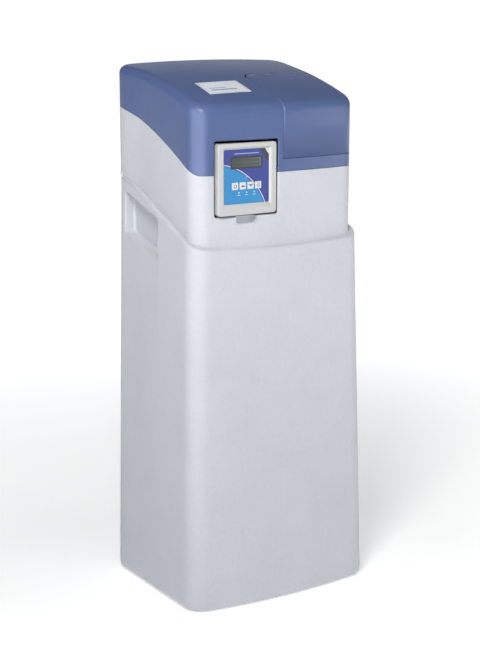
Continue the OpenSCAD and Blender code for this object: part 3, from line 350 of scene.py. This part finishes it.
def cabinet_shell():
    rings = []
    for a in sweep(6):
        z = foot_r * (1 - math.cos(a))
        rings.append(flat(low_plan(z, foot_r * (1 - math.sin(a))), z))
    rings += [flat(low_plan(foot_r + 6, 0), foot_r + 6), ledge_ring(0, -ledge_r - 5)]
    rings += [ledge_ring(ledge_round * (1 - math.cos(a)), ledge_r * (math.sin(a) - 1)) for a in sweep(8)]
    rings += [ledge_ring(w, dz) for w, dz in ((0.88, 0.2), (0.97, 1.1), (1, 2.6), (1, 8))]
    rings.append(on_seam(0, 0))
    bm, foot, _ = loft(rings)
    cap(bm, foot)
    obj = piece("cabinet_shell", bm)
    rear = block(port_in_x - port_side, port_out_x + port_side, half_d - 25, half_d + 20,
                 valve_z - port_up, valve_z + port_up, "y", 10)
    shape(obj,
          ("UNION", grip_tool(-1, wall)), ("UNION", grip_tool(1, wall)), ("UNION", notch_tool(4)),
          ("DIFFERENCE", grip_tool(-1, 0)), ("DIFFERENCE", grip_tool(1, 0)),
          ("DIFFERENCE", panel_tool()), ("DIFFERENCE", notch_tool(0)), ("DIFFERENCE", tool(rear)),
          ("DIFFERENCE", tool(rod(over_x, half_d - 15, over_z, 25, over_hole))),
          ("DIFFERENCE", tool(rod(cable_x, half_d - 15, valve_z, 25, cable_hole))),
          thickness=wall)
    soften(obj, 3.0, lambda p: cut_x0 - 1 < p.x < cut_x1 + 1 and abs(p.y - front_y(p.x)) < 0.5
           and cut_z0 - 0.5 < p.z < seam_z - 0.5)
    soften(obj, 0.8, lambda p: abs(p.x - panel_x) < notch_w / 2 + 1 and abs(p.y - front_y(p.x)) < 0.5
           and cut_z0 - notch_h - 1 < p.z < cut_z0 - 3.2, segments=2)
    soften(obj, 3.5, lambda p: abs(p.x) > low_a(p.z) - 0.6 and abs(p.y - grip_y) < grip_l / 2 + 2
           and abs(p.z - grip_z - grip_rake * (p.y - grip_y)) < grip_h / 2 + 2)
    soften(obj, 1.4, lambda p: p.y > half_d - 0.4 and p.z < 900)
    soften(obj, 0.9, lambda p: abs(p.z - seam(p.y)) < 0.4, segments=2)
    return obj


def cover_skin(inset=0.0):
    """The blue cover without its hatch seam: a wall, a round shoulder and the sloping top."""
    rings, r = [on_seam(inset, seam_gap)], shoulder_r - inset
    rings += [on_top(inset + r * (1 - math.cos(a)), inset + r * (1 - math.sin(a))) for a in sweep(8)]
    rings += [on_top(shoulder_r + i, inset) for i in (5, 14, 26, 42, 60, 80, 98)]
    centre, rim = (-45.0, 40.0), rings[-1]
    for t in (0.7, 0.4, 0.15):
        near = [mix(centre, p, t) for p in rim]
        rings.append([(x, y, top(x, y) - inset) for x, y in near])
    bm, _, middle = loft(rings)
    cap(bm, middle)
    return piece("cover_skin", bm)


def prism(points, direction):
    """A solid from a flat outline of points and the way it runs."""
    bm = bmesh.new()
    verts = [bm.verts.new(Vector(p) * MM) for p in points]
    face = bm.faces.new(verts)
    made = bmesh.ops.extrude_face_region(bm, geom=[face])["geom"]
    far = [v for v in made if isinstance(v, bmesh.types.BMVert)]
    bmesh.ops.translate(bm, vec=Vector(direction) * MM, verts=far)
    return tool(bm)


def hatch_zone(r, gap, rear_gap):
    """The hatch's region: its outline from above, over a line along the cover's lower edge."""
    x0, y1 = hatch_x + gap, hatch_y - rear_gap
    outline = [(half_w + 20, -220), (half_w + 20, y1)] + arc(x0 + r, y1 - r, r, 90, 20) + [(x0, -220)]
    zone = prism([(x, y, seam_z - 40) for x, y in outline], (0, 0, 420))
    front, rear, above = -230, 50, 1400
    ys = [front + (rear - front) * k / 70 for k in range(71)]
    line = [(-half_w, y, seam(y) + hatch_up + gap) for y in ys]
    line += [(-half_w, rear, above), (-half_w, front, above)]
    return shape(zone, ("INTERSECT", prism(line, (500, 0, 0))))


def rib(x, y0, y1):
    bm = block(x - 1, x + 1, y0, y1 + 2, 0, 8)
    for v in bm.verts:
        v.co.z += (top(x, v.co.y / MM) - cover_wall - 7.0) * MM
    return tool(bm)


rib_y = [-neck_f + 32, -neck_f + 78, hatch_y - 54]


def cover_shell():
    obj = cover_skin()
    obj.name = "cover_shell"
    ribs = [("UNION", rib(tank_x + dx, rib_y[0], rib_y[2])) for dx in (-64, 0, 62)]
    ribs += [("UNION", rib(tank_x + dx, rib_y[2], half_d - 50)) for dx in (-64, 0)]
    shape(obj, *ribs, ("DIFFERENCE", hatch_zone(opening_corner, 0, 0)), ("DIFFERENCE", panel_tool()),
          thickness=cover_wall)
    soften(obj, 2.2, lambda p: cut_x0 - 1 < p.x < cut_x1 + 1 and abs(p.y - front_y(p.x)) < 0.5
           and seam_z + 1.5 < p.z < cut_z1 + 1)
    return obj


def hatch_seat():
    """The rebate of the cover that the hatch rests on, in front of its hinges."""
    obj = cover_skin(cover_wall + seat_gap)
    obj.name = "hatch_seat"
    wide, narrow = hatch_zone(hatch_r, -seat_out, 0), hatch_zone(hatch_r, seat_in, 0)
    front = block(-half_w, half_w, -230, seat_end, seam_z - 20, 1200)
    cuts = [("INTERSECT", wide), ("DIFFERENCE", narrow), ("INTERSECT", tool(front))]
    return shape(obj, *cuts, thickness=seat_t)


def cover_lip():
    """The lip that drops inside the cabinet's rim."""
    bm, _, _ = loft([on_seam(2.6, 12), on_seam(2.6, 1.2), on_seam(lip_in, 1.2), on_seam(lip_in, -lip_deep)])
    obj = piece("cover_lip", bm)
    wide = block(cut_x0, cut_x1, -half_d - 20, panel_y + 40, seam_z - 30, cut_z1, "y", 5)
    return shape(obj, ("DIFFERENCE", tool(wide)), thickness=lip_t)


def hatch_shell():
    obj = cover_skin()
    obj.name = "hatch_shell"
    ribs = [("UNION", rib(hatch_x + dx, rib_y[0], rib_y[2])) for dx in (16, 24, 92, 100, 148, 156)]
    zone = hatch_zone(hatch_corner, hatch_gap, hatch_rear_gap)
    return shape(obj, ("INTERSECT", zone), *ribs, thickness=cover_wall)


# Control panel and fittings


def on_panel(x, z, w, h, y0, y1, r):
    return block(x - w / 2, x + w / 2, y0, y1, z - h / 2, z + h / 2, "y", r)


def key_x(k):
    return panel_x + (k - 2.5) * key_pitch


def bezel_frame():
    """The light grey frame: a flat band, faces that slope down to the foil, and openings for what shows."""
    obj = piece("bezel_frame", on_panel(panel_x, panel_z, panel_w, panel_h, panel_y, rim_back, 6))
    over = 1.0
    sunk = on_panel(panel_x, foil_z, foil_w, foil_h, panel_y - over, web_y, 2.5)
    spread = (web_y - panel_y + over) / (web_y - panel_y)
    for v in sunk.verts:
        if v.co.y < (panel_y + 0.1) * MM:
            v.co.x += math.copysign(slope_side * spread * MM, v.co.x - panel_x * MM)
            v.co.z += (slope_top if v.co.z > foil_z * MM else -slope_low) * spread * MM
    rear = on_panel(panel_x, panel_z, panel_w - 6, panel_h - 6, web_y + 3, rim_back + 1, 3)
    key_hole = key_w + 0.8
    holes = [on_panel(key_x(k), key_z, key_hole, key_hole, web_y - 1, web_y + 5, 1.8) for k in (1, 2, 3, 4)]
    holes.append(on_panel(panel_x, lcd_z, lcd_w + 0.6, lcd_h + 0.6, web_y - 1, web_y + 5, 0.5))
    holes.append(rod(panel_x, web_y - 1, led_z, 6, 1.7))
    shape(obj, *[("DIFFERENCE", tool(cut)) for cut in [sunk, rear] + holes])
    soften(obj, 1.3, lambda p: p.y < panel_y + 0.2, sharper=20)
    return obj


def key_button(k):
    """A key with a dished edge, a lip that keeps it behind the panel and a stem to its switch."""
    obj = piece(f"key_button_{k}", on_panel(key_x(k), key_z, key_w, key_w, key_front, web_y + 4, 1.6))
    soften(obj, 0.8, lambda p: p.y < key_front + 0.1)
    lip = on_panel(key_x(k), key_z, key_w + 2, key_w + 2, web_y + 3.1, web_y + 4.2, 2)
    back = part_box(f"key_{k}")[1].y / MM
    stem = rod(key_x(k), web_y + 3, key_z, back - web_y - 3, 2.5)
    return shape(obj, ("UNION", tool(lip)), ("UNION", tool(stem)))


def turned(x, z, profile, steps):
    """A body of revolution about a line along Y, from a closed profile of distance along it and radius."""
    bm = bmesh.new()
    verts = [bm.verts.new(Vector((x, y, z + r)) * MM) for y, r in profile]
    edges = [bm.edges.new(pair) for pair in zip(verts, verts[1:] + verts[:1])]
    bmesh.ops.spin(bm, geom=verts + edges, cent=Vector((x, 0, z)) * MM, axis=(0, 1, 0),
                   angle=math.tau, steps=steps, use_merge=True)
    bmesh.ops.remove_doubles(bm, verts=bm.verts, dist=1e-6)
    return bm


def lamp_lens():
    low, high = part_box("status_led")
    front, back = low.y / MM, high.y / MM
    dome = [(front + 1.5 * (1 - math.cos(a)), 1.5 * math.sin(a)) for a in sweep(6)]
    collar = [(web_y + 3, 1.5), (web_y + 3, 2), (web_y + 4, 2), (web_y + 4, 1.5)]
    return piece("lamp_lens", turned(panel_x, led_z, dome + collar + [(back, 1.5), (back, 0)], 40))


def pipe_tail(name, x):
    """A threaded tail: a flange behind the nut, a plain neck and a pipe thread at the free end."""
    low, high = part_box("pipe_tails")
    start, end = low.y / MM, high.y / MM
    thread, pitch, crest, root, shank, bore = 20.0, 2.3, 16.6, 15.3, 15.1, 11.0
    flange = high.z / MM - valve_z
    profile = [(start, bore), (start, flange - 0.6), (start + 0.6, flange), (start + 5.4, flange),
               (start + 6, flange - 0.6), (start + 6, shank), (end - thread, shank)]
    turns = int(thread / pitch) - 1
    for k in range(turns):
        y = end - thread + 0.8 + k * pitch
        profile += [(y, root), (y + 0.45 * pitch, crest), (y + 0.6 * pitch, crest)]
    profile += [(end - thread + 0.8 + turns * pitch, root), (end - 1.4, root), (end, root - 1.2),
                (end, bore + 0.8), (end - 0.8, bore)]
    return piece(name, turned(x, valve_z, profile, 56))


# Finishes


def paint(r, g, b):
    """A colour given as it looks on a screen, 0 to 255."""
    def linear(c):
        c /= 255
        return c / 12.92 if c <= 0.04045 else ((c + 0.055) / 1.055) ** 2.4
    return (linear(r), linear(g), linear(b), 1.0)


class Sock:
    """A shader socket that takes part in Python arithmetic."""

    def __init__(self, look, socket):
        self.look, self.socket = look, socket

    def math(self, operation, *values):
        return self.look.node("ShaderNodeMath", {"operation": operation}, dict(enumerate(values)))

    def __add__(self, other):
        return self.math("ADD", self, other)

    def __radd__(self, other):
        return self.math("ADD", other, self)

    def __sub__(self, other):
        return self.math("SUBTRACT", self, other)

    def __rsub__(self, other):
        return self.math("SUBTRACT", other, self)

    def __mul__(self, other):
        return self.math("MULTIPLY", self, other)

    def __rmul__(self, other):
        return self.math("MULTIPLY", other, self)

    def __lt__(self, other):
        return self.math("LESS_THAN", self, other)

    def __gt__(self, other):
        return self.math("GREATER_THAN", self, other)

    def __mod__(self, other):
        return self.math("FLOORED_MODULO", self, other)

    def __and__(self, other):
        return self.math("MINIMUM", self, other)

    def __or__(self, other):
        return self.math("MAXIMUM", self, other)

    def __abs__(self):
        return self.math("ABSOLUTE", self)

    def root(self):
        return self.math("SQRT", self)


class Look:
    """One procedural finish on the Principled shader."""

    def __init__(self, name, colour, roughness, **fixed):
        self.material = bpy.data.materials.new(name)
        self.material.use_nodes = True
        self.tree = self.material.node_tree
        self.shader = self.tree.nodes["Principled BSDF"]
        self.place = self.node("ShaderNodeTexCoord", {}, {}, "Object")
        self.put({"Base Color": colour, "Roughness": roughness, **fixed})

    def put(self, sockets, node=None):
        node = node or self.shader
        for key, value in sockets.items():
            if isinstance(value, Sock):
                self.tree.links.new(value.socket, node.inputs[key])
            else:
                node.inputs[key].default_value = value

    def node(self, kind, settings, sockets, out=0):
        made = self.tree.nodes.new(kind)
        for key, value in settings.items():
            setattr(made, key, value)
        self.put(sockets, made)
        return Sock(self, made.outputs[out])

    def noise(self, scale, detail=2.0, rough=0.5, place=None):
        sockets = {"Vector": place or self.place, "Scale": scale, "Detail": detail, "Roughness": rough}
        return self.node("ShaderNodeTexNoise", {}, sockets)

    def grains(self, scale, out="Distance"):
        sockets = {"Vector": self.place, "Scale": scale}
        return self.node("ShaderNodeTexVoronoi", {"feature": "F1"}, sockets, out)

    def blend(self, amount, first, second):
        return self.node("ShaderNodeMix", {"data_type": "RGBA"}, {0: amount, 6: first, 7: second}, 2)

    def range(self, value, low, high, to_low, to_high):
        return self.node("ShaderNodeMapRange", {}, {0: value, 1: low, 2: high, 3: to_low, 4: to_high})

    def bump(self, height, distance):
        sockets = {"Height": height, "Distance": distance, "Strength": 1.0}
        self.put({"Normal": self.node("ShaderNodeBump", {}, sockets)})

    def centred(self, x, y, z):
        """Coordinates in millimetres from a point of the object."""
        moved = self.node("ShaderNodeMapping", {}, {"Vector": self.place, "Location": (-x, -y, -z)})
        axes = self.node("ShaderNodeSeparateXYZ", {}, {0: moved})
        outs = axes.socket.node.outputs
        return [Sock(self, o) * 1000.0 for o in outs]


def moulded(name, colour, deep, roughness, grain, depth, mottle=0.35, specular=0.5):
    """Moulded plastic: a fine grain in the surface, faint clouds in the colour and in the gloss."""
    look = Look(name, colour, roughness, **{"Specular IOR Level": specular})
    cloud = look.noise(9.0, 3.0)
    fine = look.noise(grain * 0.45, 3.0, 0.6)
    tone = look.range(cloud * (1 - mottle) + fine * mottle, 0.36, 0.66, 0.0, 1.0)
    look.put({"Base Color": look.blend(tone, deep, colour),
              "Roughness": look.range(fine, 0.3, 0.7, roughness - 0.05, roughness + 0.06)})
    look.bump(look.grains(grain) * 0.5 + look.noise(grain * 1.6, 2.0) * 0.7, depth)
    return look


def panel_print():
    """The foil: a broad light blue sweep on royal blue, a dark rim round the window and pale hair lines."""
    light, royal = paint(44, 134, 192), paint(52, 66, 142)
    dark, pale = paint(58, 57, 66), paint(206, 207, 212)
    look = Look("panel_print", royal, 0.34, **{"Specular IOR Level": 0.45})
    x, _, z = look.centred(panel_x * MM, 0, foil_z * MM)

    def disc(cx, cz):
        return ((x - cx) * (x - cx) + (z - cz) * (z - cz)).root()

    sweep_low, sweep_high = disc(-72.0, -96.0), disc(124.0, 104.0)
    colour = look.blend(sweep_low < 119.0, royal, light)
    colour = look.blend(abs(sweep_low - 121.5) < 0.8, colour, pale)
    colour = look.blend(sweep_high < 108.0, colour, dark)
    colour = look.blend(sweep_high < 98.0, colour, pale)
    window_z = lcd_z - foil_z
    field = (abs(x) < lcd_w / 2 + 1.2) & (abs(z - window_z) < lcd_h / 2 + 1.2)
    colour = look.blend(field, colour, dark)
    keys_z = key_z - foil_z
    for k in (1, 2, 3):
        at = (k - 2) * key_pitch
        dot = disc(at, keys_z - 12.6) < 1.5
        bar = (abs(x - at) < 3.2) & (abs(z - (keys_z - 17.4)) < 0.55)
        colour = look.blend(dot | bar, colour, pale)
    rule = (abs(x) < 27.0) & (abs(z - (window_z + lcd_h / 2 + 6.6)) < 0.5)
    colour = look.blend(rule, colour, pale)
    print_grain = look.noise(900.0, 2.0)
    shade = look.range(look.noise(30.0, 2.0), 0.3, 0.7, 0.0, 0.08)
    look.put({"Base Color": look.blend(shade, colour, dark),
              "Roughness": look.range(print_grain, 0.3, 0.7, 0.28, 0.4)})
    look.bump(print_grain, 0.00005)
    return look


def display_glass():
    """The window: a dark mask round a grey-green field with its blank cells in two rows; the field lightens
    towards the right, a painted reflection.
    """
    look = Look("display_glass", paint(70, 84, 78), 0.14, **{"Coat Weight": 0.6, "Coat Roughness": 0.05})
    x, _, z = look.centred(panel_x * MM, 0, lcd_z * MM)
    inside = (abs(x) < lcd_w / 2 - 2.0) & (abs(z) < lcd_h / 2 - 2.0)
    cell = (abs(x % 3.6 - 1.8) < 1.45) & (abs(abs(z) - 4.0) < 2.9) & (abs(x) < 28.8)
    dots = (abs(x % 0.6 - 0.3) < 0.24) & (abs(z % 0.72 - 0.36) < 0.3)
    # Painted reflection: the field lightens from left to right, and the noise makes its edge waver.
    drift = look.range(look.noise(28.0, 1.0), 0.3, 0.7, 0.0, 1.0)
    across = look.range(x + drift * 9.0, -30.0, 34.0, 0.0, 1.0)
    field = look.blend(across, paint(42, 52, 49), paint(80, 91, 86))
    field = look.blend(cell & dots, field, paint(42, 51, 48))
    look.put({"Base Color": look.blend(inside, paint(33, 36, 38), field)})
    return look


def key_face(k):
    """Pale key plastic with one plain sign on its front."""
    look = moulded(f"key_face_{k}", paint(214, 215, 217), paint(203, 204, 207), 0.42, 1400.0, 0.00003)
    base = look.shader.inputs["Base Color"].links[0].from_socket
    x, y, z = look.centred(key_x(k) * MM, key_front * MM, key_z * MM)
    reach = (x * x + z * z).root()
    signs = {
        1: abs(reach - 3.0) < 0.7,
        2: (abs(x) * 0.8 + z < 2.2) & (z > -2.2),
        3: (abs(x) * 0.8 - z < 2.2) & (z < 2.2),
        4: (abs(x) < 3.2) & (abs(z % 2.4 - 1.2) < 0.5) & (abs(z) < 3.6),
    }
    sign = signs[k] & (y < 0.25)
    look.put({"Base Color": look.blend(sign, Sock(look, base), paint(92, 98, 118))})
    return look


def label_print():
    """A blank white label with a hair line border and two blue bars."""
    low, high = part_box("cover_label")
    middle = (low + high) / 2
    half_x, half_y = (high.x - low.x) / 2 / MM, (high.y - low.y) / 2 / MM
    look = Look("label_print", paint(228, 230, 236), 0.36)
    x, y, _ = look.centred(middle.x, middle.y, middle.z)
    border = (abs(x) > half_x - 3.4) | (abs(y) > half_y - 3.4)
    inner = (abs(x) > half_x - 2.6) | (abs(y) > half_y - 2.6)
    long_bar = (abs(y + half_y * 0.42) < 2.2) & (abs(x + half_x * 0.1) < half_x * 0.62)
    short_bar = (abs(y + half_y * 0.1) < 1.2) & (abs(x + half_x * 0.32) < half_x * 0.4)
    fibre = look.range(look.noise(160.0, 3.0), 0.3, 0.7, 0.0, 1.0)
    paper = look.blend(fibre, paint(220, 222, 230), paint(233, 235, 240))
    colour = look.blend(border - inner, paper, paint(150, 160, 190))
    look.put({"Base Color": look.blend(long_bar | short_bar, colour, paint(120, 146, 196)),
              "Roughness": look.range(fibre, 0.0, 1.0, 0.32, 0.42)})
    look.bump(look.noise(700.0, 2.0), 0.00004)
    return look


def steel():
    look = Look("steel", paint(178, 178, 182), 0.3, **{"Metallic": 1.0})
    drawn = look.node("ShaderNodeMapping", {}, {"Vector": look.place, "Scale": (60.0, 1800.0, 1800.0)})
    lines = look.noise(1.0, 3.0, 0.6, drawn)
    tone = look.range(lines, 0.3, 0.7, 0.0, 1.0)
    look.put({"Base Color": look.blend(tone, paint(150, 150, 155), paint(196, 196, 199)),
              "Roughness": look.range(lines, 0.3, 0.7, 0.24, 0.42)})
    look.bump(lines, 0.00004)
    return look


def resin_beads():
    look = Look("resin", paint(166, 118, 52), 0.45)
    beads = look.grains(900.0)
    tone = look.grains(900.0, "Color")
    amber = look.blend(look.noise(400.0, 2.0), paint(128, 84, 30), paint(196, 146, 72))
    look.put({"Base Color": look.node("ShaderNodeMix", {"data_type": "RGBA", "blend_type": "OVERLAY"},
                                      {0: 0.25, 6: amber, 7: tone}, 2)})
    look.bump(1 - beads, 0.0004)
    return look


def lamp_glow():
    look = Look("lamp", paint(206, 222, 205), 0.2, **{"Coat Weight": 0.5})
    frost = look.range(look.noise(1500.0, 2.0), 0.3, 0.7, 0.0, 1.0)
    look.put({"Base Color": look.blend(frost, paint(188, 208, 188), paint(224, 236, 222)),
              "Roughness": look.range(frost, 0.0, 1.0, 0.14, 0.3)})
    return look


def wound_tank():
    """Glass-fibre winding under a dark blue paint, seen as crossing bands."""
    look = Look("tank_blue", paint(46, 56, 80), 0.42)
    x, y, z = look.centred(tank_x * MM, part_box("resin_tank")[0].y + tank_r * MM, 0)
    turn = y.math("ARCTAN2", y, x) * tank_r
    bands = abs((z + turn * 0.55) % 16.0 - 8.0) & abs((z - turn * 0.55) % 16.0 - 8.0)
    threads = look.noise(260.0, 3.0)
    tone = look.range(bands + threads * 3.0, 0.5, 8.0, 0.0, 1.0)
    look.put({"Base Color": look.blend(tone, paint(38, 47, 70), paint(56, 68, 96)),
              "Roughness": look.range(threads, 0.3, 0.7, 0.36, 0.52)})
    look.bump(bands * 0.12 + threads * 0.5, 0.0005)
    return look


def board_mask():
    look = Look("board_green", paint(26, 84, 48), 0.35, **{"Coat Weight": 0.3})
    x, _, z = look.centred(panel_x * MM, 0, panel_z * MM)
    tracks = (abs(x % 5.0 - 2.5) < 0.5) | (abs(z % 7.0 - 3.5) < 0.4)
    broken = look.noise(70.0, 2.0) > 0.52
    look.put({"Base Color": look.blend(tracks & broken, paint(24, 76, 44), paint(42, 112, 66)),
              "Roughness": look.range(look.noise(300.0), 0.3, 0.7, 0.3, 0.45)})
    look.bump(tracks & broken, 0.00005)
    return look


# Mouldings: colour, deeper colour, roughness, grain, its depth, and mottle and specular where they differ
mouldings = {
    "cabinet_white": (paint(198, 201, 207), paint(191, 194, 201), 0.5, 430.0, 0.00022, 0.5, 0.28),
    "cover_blue": (paint(84, 101, 146), paint(79, 95, 138), 0.33, 700.0, 0.00005, 0.4, 0.27),
    "bezel_grey": (paint(190, 191, 191), paint(183, 184, 184), 0.46, 1100.0, 0.00004),
    "dark_plastic": (paint(47, 47, 50), paint(39, 39, 42), 0.46, 800.0, 0.00007),
    "white_plastic": (paint(231, 231, 226), paint(221, 221, 216), 0.4, 900.0, 0.00004),
    "nylon": (paint(226, 220, 200), paint(213, 207, 187), 0.38, 900.0, 0.00003),
    "rubber": (paint(32, 32, 33), paint(25, 25, 26), 0.62, 1200.0, 0.00008),
    "knob_red": (paint(164, 38, 32), paint(148, 32, 28), 0.36, 900.0, 0.00004),
    "float_white": (paint(238, 238, 234), paint(222, 222, 218), 0.62, 320.0, 0.0003),
}
finishes = {slot: moulded(slot, *values) for slot, values in mouldings.items()}
finishes.update({
    "panel_print": panel_print(), "display_glass": display_glass(), "lamp": lamp_glow(),
    "key_grey": key_face(1), "board_green": board_mask(), "label_white": label_print(),
    "steel": steel(), "tank_blue": wound_tank(), "resin": resin_beads(),
})

# Dressing: new pieces where the solids are plain, a finish on every node that stays
for part in frame["record"]["subparts"]:
    mesh = nodes[part["node"]].data
    mesh.materials.clear()
    mesh.materials.append(finishes[part["material_slot"]].material)

dress(cabinet_shell(), "base", ["cabinet"], "cabinet_white")
dress(cover_shell(), "cover_lift", ["cover"], "cover_blue")
dress(cover_lip(), "cover_lift", [], "cover_blue")
dress(hatch_seat(), "cover_lift", [], "cover_blue")
dress(hatch_shell(), "hatch", ["salt_hatch"], "cover_blue")
dress(bezel_frame(), "base", ["bezel"], "bezel_grey")
for k in (1, 2, 3, 4):
    dress(key_button(k), f"key_{k}_cap", [f"key_{k}"], "key_grey", key_face(k))
dress(lamp_lens(), "base", ["status_led"], "lamp")
for name, x in (("pipe_tail_in", port_in_x), ("pipe_tail_out", port_out_x)):
    dress(pipe_tail(name, x), "base", ["pipe_tails"], "white_plastic")


# Floor, light and camera
floor_r, floor_drop = 400.0, 0.0005
camera_down, camera_turn = 12.95, 32.06


def studio_floor():
    bm = bmesh.new()
    under = Matrix.Translation((0, 0, -floor_drop))
    bmesh.ops.create_circle(bm, cap_ends=True, radius=floor_r, segments=64, matrix=under)
    floor = piece("studio_floor", bm)
    look = Look("studio_floor", (0.9, 0.9, 0.9, 1), 0.9,
                **{"Specular IOR Level": 0.1, "Emission Strength": 0.85})
    # The floor glows so that it stays white. Its glow is dimmed to 0.42 within half a metre of the object
    # and rises to full by 2.6 m, which is painted shade on the floor round the object.
    x, y, _ = look.centred(0, 0, 0)
    far = look.range((x * x + y * y).root(), 500.0, 2600.0, 0.0, 1.0)
    soft = look.range(look.noise(2.0, 2.0), 0.3, 0.7, 0.0, 1.0)
    look.put({"Base Color": look.blend(soft, (0.89, 0.89, 0.89, 1), (0.9, 0.9, 0.9, 1)),
              "Emission Color": look.blend(far, (0.42, 0.42, 0.42, 1), (1, 1, 1, 1))})
    floor.data.materials.append(look.material)


def lamp(name, kind, place, aim, energy, colour=(1, 1, 1), **settings):
    data = bpy.data.lights.new(name, kind)
    data.energy, data.color = energy, colour
    for key, value in settings.items():
        setattr(data, key, value)
    obj = bpy.data.objects.new(name, data)
    obj.location = place
    obj.rotation_euler = (Vector(aim) - Vector(place)).to_track_quat("-Z", "Y").to_euler()
    bpy.context.scene.collection.objects.link(obj)
    return obj


def soft_box(name, place, aim, watts, width, height, colour=(1, 1, 1)):
    return lamp(name, "AREA", place, aim, watts, colour, shape="RECTANGLE", size=width, size_y=height)


studio_floor()
world = bpy.data.worlds.new("studio")
world.use_nodes = True
backdrop = world.node_tree.nodes["Background"]
backdrop.inputs["Color"].default_value = (0.84, 0.91, 1, 1)
backdrop.inputs["Strength"].default_value = 0.12
bpy.context.scene.world = world
lamp("sky_soft", "SUN", (-0.6, -0.9, 3.0), (0, 0, 0), 0.4, angle=math.radians(70))
soft_box("left_box", (-1.05, -1.15, 2.1), (-0.15, -0.1, 0.8), 28, 0.5, 0.5, (1, 0.99, 0.965))
soft_box("corner_strip", (-1.0, -1.05, 0.6), (-0.19, -0.15, 0.5), 1.2, 0.5, 1.0)
soft_box("front_box", (1.3, -1.0, 0.9), (0.15, -0.15, 0.6), 7.5, 0.8, 1.4, (1, 0.99, 0.96))
soft_box("back_box", (1.9, 3.2, 1.9), (0, 0, 1.0), 7, 3.0, 1.2)
gloss = soft_box("corner_gloss", (-1.25, -0.75, 0.75), (-0.19, -0.15, 0.75), 52, 1.9, 1.6)
gloss.visible_diffuse = False

camera = bpy.data.objects.new("camera", bpy.data.cameras.new("camera"))
bpy.context.scene.collection.objects.link(camera)
camera.location = (-1.6066, -2.5593, 1.2034)
camera.rotation_euler = (math.radians(90 - camera_down), 0, -math.radians(camera_turn))
camera.data.sensor_fit, camera.data.sensor_height, camera.data.lens = "VERTICAL", 36, 81.17
camera.data.clip_end = 900
bpy.context.scene.camera = camera
bpy.context.scene.view_settings.view_transform = "Standard"
